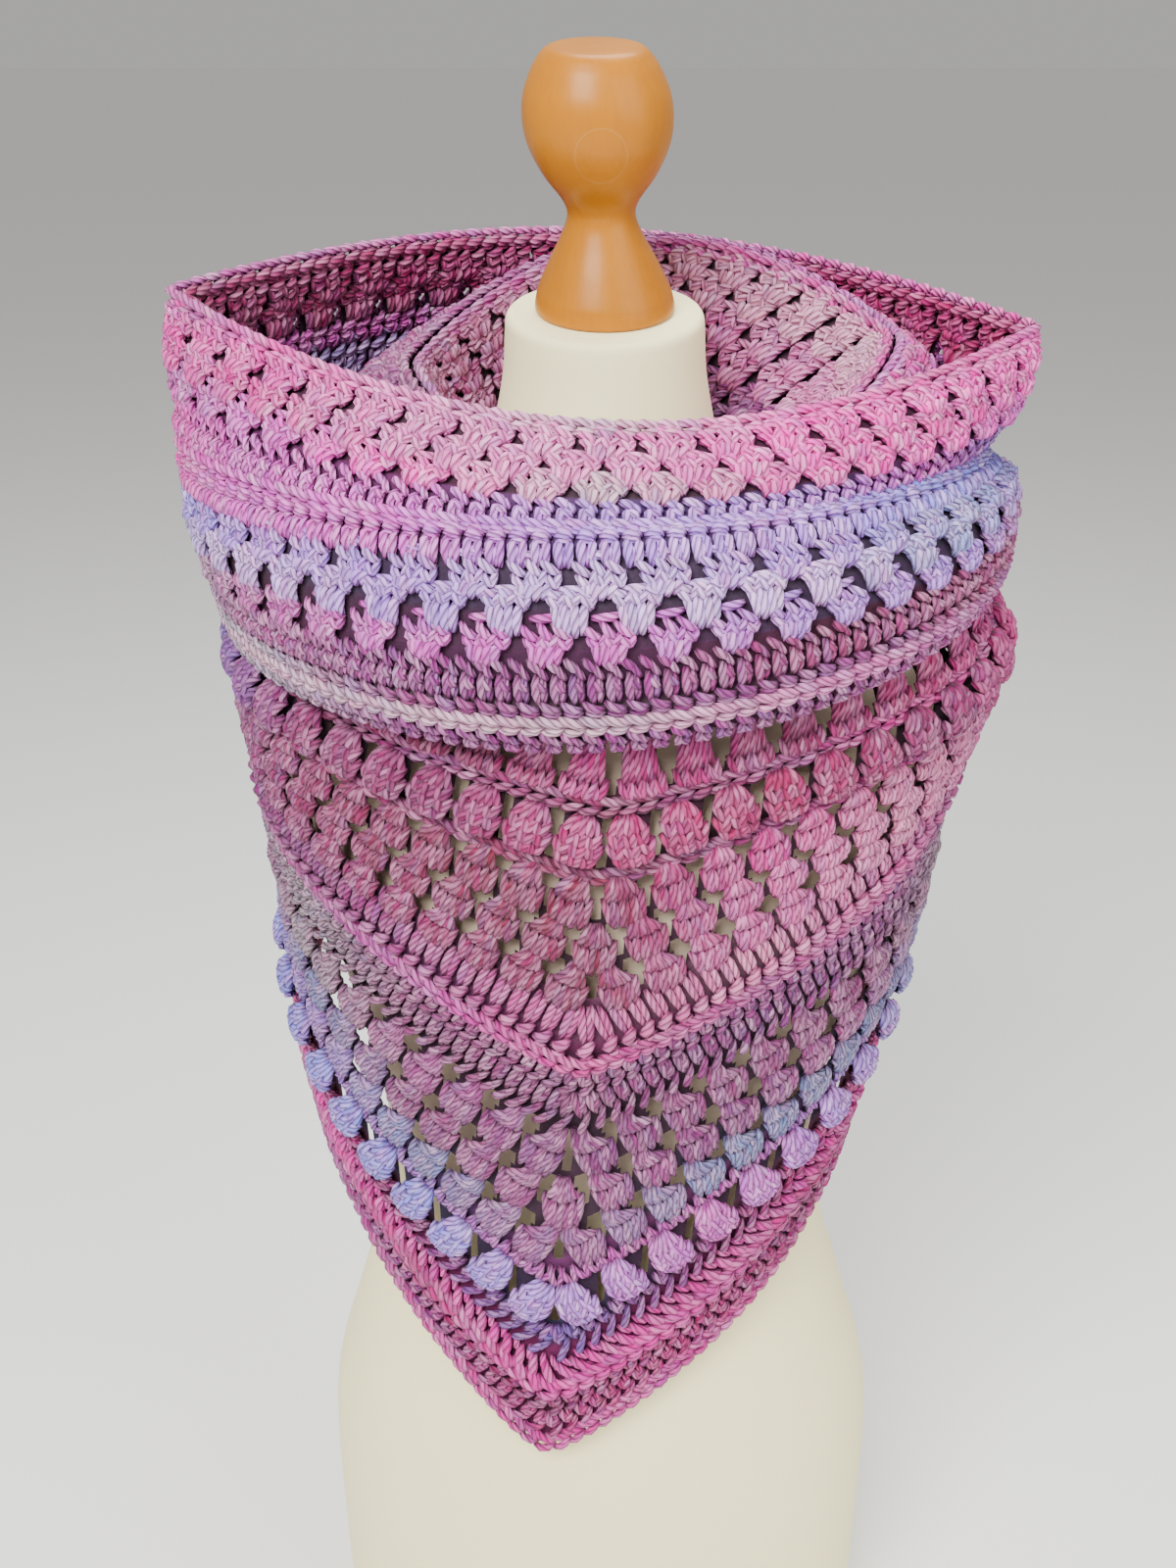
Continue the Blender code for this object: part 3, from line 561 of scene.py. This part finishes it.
CREASE_SHADE, TUCK_SHADE, WEB_SHADE = (0.34, 0.16, 0.28), (0.34, 0.20, 0.30), (0.014, 0.004, 0.010)
PLAIN = (1.0, 1.0, 1.0)
DYE_DEPTH = 2.6
DYE_STRENGTH = 1.55
RUN_STOPS = (-1.0, -0.5, -0.33, -0.17, 0.0, 0.17, 0.33, 0.5, 1.0)
chance = np.random.default_rng(7)


def linear(shade):
    """A shade as the dye takes: deeper than it looks in the light, and stronger."""
    part = (np.asarray(shade, float) / 255.0) ** DYE_DEPTH
    return np.clip(part.mean() + (part - part.mean()) * DYE_STRENGTH, 0.01, 0.95)


def run(names, along):
    """The dye along a row, from the named shades at the stops, the back taken from both ends."""
    shades = [linear(SHADES[name]) for name in names.split()]
    back = (shades[0] + shades[-1]) / 2
    stops = np.array([back] + shades + [back])
    return np.stack([np.interp(along, RUN_STOPS, stops[:, k]) for k in range(3)], axis=-1)


def marl():
    """Each strand's own dye, a lighter, a plain and a greyer ply, shadow between the plies and
    where the strand's ends tuck under the next stitch, which the shade's fourth part stores."""
    paint = Paint("yarn", Roughness=0.62, Specular_IOR_Level=0.32, Sheen_Weight=0.06, Sheen_Roughness=0.4)
    shade = paint.stored("shade", 0)
    around = paint.part(paint.node("ShaderNodeUVMap", {"uv_map": "UVMap"}), 1)
    along = paint.stored("along", 2)
    turns = along / PLY_LENGTH + around
    phase = (turns * float(PLIES)).fraction()
    ridge = (phase * math.pi).sine()
    which = (turns.fraction() * float(PLIES)).whole() / float(PLIES - 1)
    at = paint.where()
    patch = paint.noise(at, 75.0, 1.0)
    fibre = paint.noise(at, 2200.0, 2.0)
    light = paint.mix(shade, LIGHT_PLY, (which - 0.5).clamped() * 0.42)
    grey = paint.mix(light, GREY_PLY, (0.5 - which).clamped() * 0.35)
    marled = paint.mix(grey, PLUM_PATCH, (patch - 0.52).clamped() * 0.8)
    crease = paint.mix(CREASE_SHADE, PLAIN, (ridge * 1.5).clamped())
    tucked = paint.mix(TUCK_SHADE, PLAIN, (paint.stored("shade", 3) * 1.5).clamped())
    colour = paint.mix(paint.mix(marled, crease, 1.0, "MULTIPLY"), tucked, 1.0, "MULTIPLY")
    height = ridge + fibre * 0.35
    return paint.set(Base_Color=colour, Normal=paint.bump(height, 0.0008, 0.9))


def web():
    """The cloth under the yarn, in the same dye but in its shadow."""
    paint = Paint("web", Roughness=0.9)
    tone = paint.noise(paint.where(), 700.0, 2.0)
    # Painted shade, deeper still under rows with gaps, which the shade's fourth part marks.
    deep = tone * 0.06 + paint.stored("shade", 3) * 0.10 + 0.83
    colour = paint.mix(paint.stored("shade", 0), WEB_SHADE, deep)
    return paint.set(Base_Color=colour, Normal=paint.bump(tone, 0.0008, 0.6))


YARN_PAINT = marl()
WEB_PAINT = web()
section = bpy.data.curves.new("yarn_section", "CURVE")
section.dimensions = "2D"
section.splines.new("POLY").points.add(YARN_SIDES - 1)
for step, at in enumerate(section.splines[0].points):
    turn = math.tau * step / YARN_SIDES
    at.co = (math.cos(turn), math.sin(turn), 0.0, 1.0)
section.splines[0].use_cyclic_u = True
section_object = bpy.data.objects.new("yarn_section", section)
bpy.context.scene.collection.objects.link(section_object)
section_object.hide_render = True

# A stitch is a few strands, each from one place to another in a bow over the cloth.
# Places are across in pitches and down in shares of the row. Base, rise and bow are in cm.
STITCHES = {
    # across, down, to across, to down, base, rise, bow, thickness
    "chain": (
        (-0.78, 0.08, 0.6, 0.52, 0.06, 0.2, -0.05, 1.25), (-0.62, 0.98, 0.58, 0.6, 0.03, 0.2, 0.06, 1.2),
    ),
    "cord": (
        (-0.7, 0.2, 0.62, 0.74, 0.02, 0.24, 0.03, 1.2), (-0.4, 0.85, 0.5, 0.95, -0.04, 0.16, 0.0, 1.0),
    ),
    "single": (
        (-0.48, 0.0, 0.02, 0.98, 0.02, 0.22, 0.05, 1.1), (0.44, 0.05, 0.1, 1.0, 0.0, 0.2, -0.04, 1.05),
    ),
    "short": (
        (-0.5, 0.15, 0.4, 0.55, 0.04, 0.24, 0.04, 1.15), (-0.4, 0.8, 0.45, 0.7, 0.0, 0.14, 0.0, 1.0),
    ),
    "tall": (
        (-0.55, -0.02, 0.12, 0.3, 0.06, 0.22, 0.03, 1.15), (-0.1, 0.1, 0.42, 0.48, 0.04, 0.16, 0.03, 0.95),
        (-0.14, 0.36, -0.14, 1.02, 0.04, 0.22, 0.06, 1.15), (0.1, 0.4, 0.2, 1.02, 0.0, 0.16, -0.05, 1.0),
        (-0.16, 0.52, 0.34, 0.72, 0.16, 0.16, 0.0, 0.95),
    ),
    "wrapped": (
        (-0.4, 0.14, 0.4, 0.13, 0.06, 0.32, 0.03, 1.15), (-0.38, 0.33, 0.38, 0.31, 0.06, 0.32, 0.03, 1.15),
        (-0.34, 0.5, 0.34, 0.47, 0.0, 0.24, 0.02, 0.9),
        (-0.2, 0.44, -0.19, 1.04, 0.02, 0.3, 0.05, 1.2), (0.2, 0.44, 0.2, 1.04, 0.0, 0.26, -0.05, 1.1),
        (-0.02, 0.62, 0.03, 1.02, 0.0, 0.22, 0.0, 0.9),
    ),
    "post": (
        (-0.2, 0.0, -0.1, 0.74, 0.04, 0.3, 0.05, 1.2), (0.16, 0.02, 0.16, 0.74, 0.0, 0.26, -0.05, 1.15),
        (-0.38, 0.86, 0.34, 0.7, 0.12, 0.34, 0.0, 1.5), (-0.34, 1.02, 0.34, 0.94, 0.0, 0.22, 0.0, 1.0),
    ),
    "shell": (
        (-0.09, -0.02, -0.32, 0.6, 0.04, 0.3, -0.04, 1.3),
        (-0.05, -0.02, -0.18, 0.62, 0.08, 0.34, -0.02, 1.3),
        (-0.02, -0.02, -0.06, 0.62, 0.1, 0.38, 0.0, 1.3), (0.02, -0.02, 0.06, 0.62, 0.1, 0.38, 0.0, 1.3),
        (0.05, -0.02, 0.18, 0.62, 0.08, 0.34, 0.02, 1.3), (0.09, -0.02, 0.32, 0.6, 0.04, 0.3, 0.04, 1.3),
        (-0.4, 0.52, -0.32, 0.92, 0.06, 0.26, -0.04, 1.15), (-0.19, 0.54, -0.28, 0.98, 0.1, 0.28, 0.04, 1.15),
        (-0.21, 0.54, -0.11, 1.0, 0.12, 0.28, -0.04, 1.15), (0.0, 0.54, -0.07, 1.02, 0.14, 0.28, 0.04, 1.15),
        (0.02, 0.54, 0.09, 1.02, 0.14, 0.28, -0.04, 1.15), (0.21, 0.54, 0.12, 1.0, 0.12, 0.28, 0.04, 1.15),
        (0.19, 0.54, 0.28, 0.98, 0.1, 0.28, -0.04, 1.15), (0.4, 0.52, 0.32, 0.92, 0.06, 0.26, 0.04, 1.15),
    ),
    "ridge": (
        (-0.78, 0.08, 0.6, 0.52, 0.26, 0.22, -0.05, 1.5), (-0.62, 0.98, 0.58, 0.6, 0.22, 0.22, 0.06, 1.45),
    ),
    "knot": (
        (-0.46, 0.18, 0.34, 0.88, 0.1, 0.34, 0.03, 1.5), (-0.05, 0.0, 0.55, 0.5, 0.0, 0.24, 0.03, 1.0),
    ),
    "fan": (
        (-0.31, 0.42, -0.2, 1.0, 0.06, 0.3, -0.05, 1.3), (-0.12, 0.4, -0.08, 1.04, 0.1, 0.36, -0.02, 1.3),
        (0.09, 0.42, 0.06, 1.04, 0.1, 0.36, 0.02, 1.3), (0.28, 0.44, 0.19, 1.0, 0.06, 0.3, 0.05, 1.3),
        (-0.49, 0.04, -0.16, 0.28, 0.06, 0.26, 0.04, 1.15), (-0.13, 0.0, 0.11, 0.28, 0.1, 0.28, 0.04, 1.15),
        (0.12, 0.0, 0.46, 0.25, 0.08, 0.26, 0.04, 1.15),
        (-0.43, 0.26, -0.18, 0.56, 0.08, 0.26, 0.04, 1.1), (-0.1, 0.22, 0.08, 0.54, 0.14, 0.28, 0.04, 1.1),
        (0.18, 0.24, 0.41, 0.54, 0.08, 0.26, 0.04, 1.1),
        (-0.06, 0.16, -0.2, 0.5, 0.12, 0.2, -0.03, 1.0), (0.2, 0.16, 0.04, 0.5, 0.14, 0.2, -0.03, 1.0),
        (0.45, 0.18, 0.31, 0.6, 0.02, 0.2, -0.05, 1.05),
        (-0.3, -0.06, 0.28, -0.1, 0.04, 0.14, 0.02, 1.15),
    ),
}
PLAITS = tuple(
    (column * wide + side * 0.12, 0.20 + 0.23 * step, column * wide + side * 0.01, 0.50 + 0.23 * step,
     0.02, 0.14, side * 0.02, 1.3)
    for column in (-1, 0, 1) for step, wide in enumerate((0.19, 0.25, 0.19)) for side in (-1, 1))
FINGERS = tuple(
    (step * 0.055, -0.04, step * 0.140, 0.30, 0.0, 0.10, -step * 0.03, 1.3) for step in (-2, -1, 0, 1, 2))
STITCHES["bobble"] = PLAITS + FINGERS
STITCHES["bunch"] = tuple((0.84 * u0, w0, 0.84 * u1, *rest) for u0, w0, u1, *rest in STITCHES["fan"])
DOME = {"bobble": (0.95, 0.47, 0.58)}
LEAST_HEIGHT = {"fan": 0.75, "bunch": 0.75, "shell": 0.75, "bobble": 0.6, "tall": 0.4, "wrapped": 0.5}
FULL_SIZE = {"bobble": (3.0, 2.4)}
BOW = np.array([0.0, 0.33, 0.67, 1.0])
TAPER = np.array([0.66, 1.05, 1.05, 0.66])
TUCK = np.array([0.0, 1.0, 1.0, 0.0])


def lay(cloth, stitch, top, low, along, pitch, dye, face=1.0, upturned=False, base=0.0, depth=1.0):
    """The strands of one row: a stitch of that kind at each place along it. Face is 1 on the
    outside and -1 on the inside, base is how far the yarn stands off the cloth in cm, and an
    upturned stitch has its head below."""
    along = np.asarray(along, float)
    middle = np.full(along.shape, (top + low) / 2)
    reach = 0.5 * CM / cloth.half_length((top + low) / 2)
    ahead = cloth.sample(cloth.points, middle, along + reach)
    across = (ahead - cloth.sample(cloth.points, middle, along - reach)) / (2 * reach)
    down = (cloth.sample(cloth.points, np.full(along.shape, float(low)), along)
            - cloth.sample(cloth.points, np.full(along.shape, float(top)), along)) / (low - top)
    outward = cloth.sample(cloth.normals, middle, along)
    length = np.linalg.norm(across, axis=-1)
    forward = across / length[:, None]
    under = np.cross(forward, outward)
    under *= np.sign((under * down).sum(-1))[:, None]
    down_under, down_forward = (down * under).sum(-1), (down * forward).sum(-1)
    height = down_under * (low - top)
    keep = height > LEAST_HEIGHT.get(stitch, 0.0) * CM
    along, middle, across, down, length, down_under, down_forward, height, dye = (
        kept[keep] for kept in (along, middle, across, down, length, down_under, down_forward, height, dye))
    if stitch in FULL_SIZE:
        pitch = FULL_SIZE[stitch][0]
        height = np.full(height.shape, FULL_SIZE[stitch][1] * CM)
    strands = []
    for u0, w0, u1, w1, foot, rise, bow, thick in STITCHES[stitch]:
        u = (u0 + (u1 - u0) * BOW)[None, :] * pitch * CM
        w = (w0 + (w1 - w0) * BOW)[None, :] - 0.5
        w = (-w if upturned else w) * height[:, None]
        run_u, run_w = (u1 - u0) * pitch * CM, (w1 - w0) * height[:, None]
        size = np.hypot(run_u, run_w)
        swell = np.sin(math.pi * BOW)[None, :]
        u = u - run_w / size * bow * CM * swell
        w = w + run_u / size * bow * CM * swell * (-1.0 if upturned else 1.0)
        lift = (foot + base + rise * swell) * CM
        if stitch in DOME:
            tall, wide, deep = DOME[stitch]
            spot = 1.0 - (u / (wide * pitch * CM)) ** 2 - (w / (deep * height[:, None])) ** 2
            lift = lift + tall * CM * np.sqrt(np.clip(spot, 0.0, 1.0))
        step = w / down_under[:, None]
        turn = (u - step * down_forward[:, None]) / length[:, None]
        row, place_along = middle[:, None] + step, along[:, None] + turn
        inside = np.clip(row, 0.0, cloth.rows[-1])
        at = cloth.sample(cloth.points, inside, place_along)
        at = at + (row - inside)[..., None] * down[:, None, :]
        at = at + cloth.sample(cloth.normals, inside, place_along) * (lift * face)[..., None]
        other = PLY_TINTS[chance.integers(0, len(PLY_TINTS), len(along))]
        tint = dye + (other - dye) * chance.uniform(0.0, TINT_SHARE, (len(along), 1))
        # Depth is partly painted light and shade for the piece, on top of a stronger dye.
        tint = tint * chance.uniform(*TINT_SPREAD, (len(along), 1)) * np.asarray(depth)
        strands += [(points, TAPER * thick * YARN_RADIUS, shade) for points, shade in zip(at, tint)]
    return strands


def yarn_piece(name, strands):
    """One piece of all these strands, bevelled, with each strand's dye and length stored on it."""
    curve = bpy.data.curves.new(name, "CURVE")
    curve.dimensions = "3D"
    curve.bevel_mode = "OBJECT"
    curve.bevel_object = section_object
    for points, radii, _ in strands:
        spline = curve.splines.new("POLY")
        spline.points.add(len(points) - 1)
        spline.points.foreach_set("co", np.pad(points, ((0, 0), (0, 1)), constant_values=1.0).ravel())
        spline.points.foreach_set("radius", radii)
    bevelled = bpy.data.objects.new(name + "_line", curve)
    bpy.context.scene.collection.objects.link(bevelled)
    graph = bpy.context.evaluated_depsgraph_get()
    mesh = bpy.data.meshes.new_from_object(bevelled.evaluated_get(graph))
    bpy.data.objects.remove(bevelled)
    mesh.name = name
    dyes, lengths = [], []
    for points, _, shade in strands:
        steps = np.concatenate([[0.0], np.cumsum(np.linalg.norm(np.diff(points, axis=0), axis=-1))])
        steps += chance.uniform(0.0, PLY_LENGTH)
        lengths.append(np.repeat(steps, YARN_SIDES))
        dyes.append(np.repeat(np.column_stack([np.tile(shade, (len(points), 1)), TUCK]), YARN_SIDES, axis=0))
    stored = mesh.attributes.new("shade", "FLOAT_COLOR", "POINT")
    stored.data.foreach_set("color", np.concatenate(dyes).ravel())
    stored = mesh.attributes.new("along", "FLOAT", "POINT")
    stored.data.foreach_set("value", np.concatenate(lengths))
    mesh.shade_smooth()
    mesh.materials.clear()
    mesh.materials.append(YARN_PAINT)
    made = bpy.data.objects.new(name, mesh)
    bpy.context.scene.collection.objects.link(made)
    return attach(made, "root")


def places(cloth, top, low, pitch, half=False):
    """Places along a row at about this pitch, evenly to each side of the front."""
    length = cloth.half_length((top + low) / 2) / CM
    count = round(length / pitch)
    steps = (np.arange(count) + 0.5) / count if half else np.arange(1, count + 1) / count
    left = steps if half else np.append(0.0, steps[:-1])
    return np.concatenate([-left[::-1], steps]), length / count


def lay_rows(cloth, rows, behind=0.0, **how):
    """All the rows of a table, or only what lies further round than behind, as a share of a side."""
    strands = []
    for stitch, top, low, pitch, half, shades in rows:
        along, real_pitch = places(cloth, top, low, pitch, half=half)
        along = along[np.abs(along) >= behind]
        kind, _, turned = stitch.partition("_")
        strands += lay(cloth, kind, top, low, along, real_pitch, run(shades, along),
                       upturned=turned == "down", **how)
    return strands


# Crochet: the scarf's stitches in chunky yarn, worked row by row from the tables above and laid
# strand by strand on their cloth. Each piece is the yarn of one stretch of the scarf. Depth
# multiplies its dye, as one number or as red, green and blue: partly a stronger dye, and partly
# painted light and shade, lighter on the hood's outside and darker inside the hood, in the collar
# and down the yoke, panel, border and upper bobbles.
pieces = {
    "hood_inside_yarn": (
        lay_rows(hood, HOOD_INSIDE, behind=0.3, face=-1.0, base=0.3, depth=(0.80, 0.20, 0.56))
        + lay_rows(hood, HOOD_INSIDE_LOW, behind=0.3, face=-1.0, base=0.3, depth=0.8)),
    "hood_fall_yarn": lay_rows(hood, HOOD_FALL, behind=0.12, face=-1.0, base=0.30, depth=0.8),
    "collar_yarn": lay_rows(collar, COLLAR_INSIDE, face=-1.0, base=0.35, depth=0.85),
    "hood_upper_yarn": lay_rows(hood, HOOD_UPPER, depth=1.12),
    "hood_lower_yarn": lay_rows(hood, HOOD_LOWER, depth=(1.04, 1.08, 1.06)),
    "body_upper_yarn": lay_rows(body, BODY_UPPER, depth=(0.82, 0.54, 0.70)),
    "body_lower_yarn": lay_rows(body, BODY_LOWER, depth=(0.72, 0.76, 0.70)),
    "border_yarn": lay_rows(body, BORDER, depth=(0.80, 0.42, 0.76)),
    "bobbles": lay_rows(body, BOBBLES_HIGH, depth=(0.70, 0.30, 0.50)) + lay_rows(body, BOBBLES_LOW),
}
laid = {name: yarn_piece(name, strands) for name, strands in pieces.items()}

# Web: behind the yarn the loops of each row lock into the next one and close the cloth. A thin dark
# sheet stands for them, with holes where the clusters part and the jersey or the light shows
# through.
# The web's colour is painted shade: the row's dye taken nearly to black, for the dark among and behind the
# stitches.
WEB_INSET = 0.0012
WEB_ROW = 0.2
WEB_COLUMNS = 440
DYE_OVERLAP = 0.3
GAPS = {
    # kind: from and to, as shares of the row's depth, and half the gap's width in cm
    "fan": ((0.5, 0.98, 0.55), (0.1, 0.5, 0.2)),
    "bunch": ((0.5, 0.98, 0.55), (0.1, 0.5, 0.2)),
    "shell": ((0.04, 0.32, 0.85), (0.32, 0.6, 0.6), (0.6, 0.8, 0.25)),
    "bobble": ((0.08, 0.92, 0.35),),
}


def lay_web(name, cloth, first, last, holes, open_from, nodes):
    """The sheet between two rows, dyed like its stitches, open further round than open_from."""
    rows = np.arange(first, last + 1e-6, WEB_ROW)
    columns = np.linspace(-1.0, 1.0, WEB_COLUMNS + 1)
    r, a = np.meshgrid(rows, columns, indexing="ij")
    grid = cloth.sample(cloth.points, r, a) - cloth.sample(cloth.normals, r, a) * WEB_INSET
    dye = np.zeros(r.shape + (4,)) + np.append(linear(SHADES["plum"]), 1.0)
    for stitch, top, low, _, _, shades in holes:
        inside = (r >= top - DYE_OVERLAP) & (r < low + DYE_OVERLAP)
        # The fourth part marks rows with gaps, where the web is painted in deeper shade.
        dye[inside] = np.column_stack([run(shades, a[inside]), np.full(inside.sum(), float(stitch in GAPS))])
    bm = bmesh.new()
    skin(bm, grid, False)
    stored = bm.verts.layers.float_color.new("shade")
    for vert, tint in zip(bm.verts, dye.reshape(-1, 4)):
        vert[stored] = tint
    bm.faces.ensure_lookup_table()
    gone = set()
    middles = (columns[:-1] + columns[1:]) / 2
    heights = (rows[:-1] + rows[1:]) / 2
    for stitch, top, low, pitch, half, _ in holes:
        if stitch not in GAPS:
            continue
        along, real_pitch = places(cloth, top, low, pitch, half=half)
        between_stitches = along + 0.5 * real_pitch * CM / cloth.half_length((top + low) / 2)
        between_stitches = between_stitches[np.abs((between_stitches + 1.0) % 2.0 - 1.0) >= open_from]
        for high, deep, wide in GAPS[stitch]:
            shares = (heights - top) / (low - top)
            rows_in = np.nonzero((shares > high) & (shares < deep))[0]
            reach = wide * CM / cloth.half_length((top + low) / 2)
            for at in between_stitches:
                columns_in = np.nonzero(np.abs((middles - at + 1.0) % 2.0 - 1.0) < reach)[0]
                gone.update((int(i), int(j)) for i in rows_in for j in columns_in)
    bmesh.ops.delete(bm, geom=[bm.faces[i * WEB_COLUMNS + j] for i, j in gone], context="FACES")
    bmesh.ops.remove_doubles(bm, verts=bm.verts[:], dist=1e-6)
    bmesh.ops.recalc_face_normals(bm, faces=bm.faces[:])
    made = piece(name, bm, WEB_PAINT)
    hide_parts(*nodes)
    return made


hood_web = lay_web("hood_web", hood, 0.0, 19.0, HOOD_UPPER + HOOD_LOWER, open_from=0.5,
                   nodes=[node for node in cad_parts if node.startswith(("hood_", "fall_"))])
body_web = lay_web("body_web", body, 0.0, 27.0, BODY_UPPER + BODY_LOWER + BOBBLES_HIGH + BOBBLES_LOW + BORDER,
                   open_from=0.0, nodes=["body_front", "body_back", "hem_edging", "rim_edging"])
collar_web = lay_web("collar_web", collar, 0.0, 4.0, COLLAR_INSIDE,
                     open_from=math.inf, nodes=["collar_stand"])

# Studio: a plain pale floor, three soft lamps and a pale sky, with the camera a little above the
# hood's rim and turned down, as the photo was taken. Nothing here belongs to the model.
FLOOR_PALE = (0.97, 0.965, 0.95, 1.0)
FLOOR_HALF_SIZE = 40.0
FLOOR_GAP = 0.0005
SKY_PALE = (1.0, 0.985, 0.97, 1.0)
SKY_STRENGTH = 0.46
LAMPS = (
    # name, place, aim, size in m, power in W
    ("key", (-0.7, -1.7, 2.2), (0.0, 0.0, 0.72), 1.2, 112.0),
    ("fill", (1.5, -1.3, 1.5), (0.0, 0.0, 0.7), 1.6, 30.0),
    ("top", (0.2, 0.5, 2.4), (0.0, 0.0, 0.8), 1.0, 34.0),
)
CAMERA_LENS = 40.5
CAMERA_PITCH = math.radians(-23.5)
CAMERA_BACK, CAMERA_ABOVE_PLATE, CAMERA_ASIDE = 0.91, 0.135, 0.0085

floor = bmesh.new()
bmesh.ops.create_grid(floor, x_segments=1, y_segments=1, size=FLOOR_HALF_SIZE)
floor_paint = Paint("floor", Roughness=0.9, Base_Color=FLOOR_PALE)
floor_mesh = bpy.data.meshes.new("floor")
floor.to_mesh(floor_mesh)
floor.free()
floor_mesh.materials.append(floor_paint.material)
floor_object = bpy.data.objects.new("floor", floor_mesh)
floor_object.location.z = -FLOOR_GAP
bpy.context.scene.collection.objects.link(floor_object)

for name, at, aim, size, power in LAMPS:
    lamp = bpy.data.lights.new(name, "AREA")
    lamp.size = size
    lamp.energy = power
    lamp_object = bpy.data.objects.new(name, lamp)
    lamp_object.location = at
    lamp_object.rotation_euler = (Vector(aim) - Vector(at)).to_track_quat("-Z", "Y").to_euler()
    bpy.context.scene.collection.objects.link(lamp_object)
world = bpy.data.worlds.new("studio")
world.use_nodes = True
world.node_tree.nodes["Background"].inputs["Color"].default_value = SKY_PALE
world.node_tree.nodes["Background"].inputs["Strength"].default_value = SKY_STRENGTH
bpy.context.scene.world = world

camera = bpy.data.cameras.new("camera")
camera.lens = CAMERA_LENS
camera.sensor_width = 36.0
camera.sensor_fit = "AUTO"
camera_object = bpy.data.objects.new("camera", camera)
camera_object.location = (AXIS_X - CAMERA_ASIDE, AXIS_Y - CAMERA_BACK, PLATE_HEIGHT + CAMERA_ABOVE_PLATE)
camera_object.rotation_euler = (math.pi / 2 + CAMERA_PITCH, 0.0, 0.0)
bpy.context.scene.collection.objects.link(camera_object)
bpy.context.scene.camera = camera_object
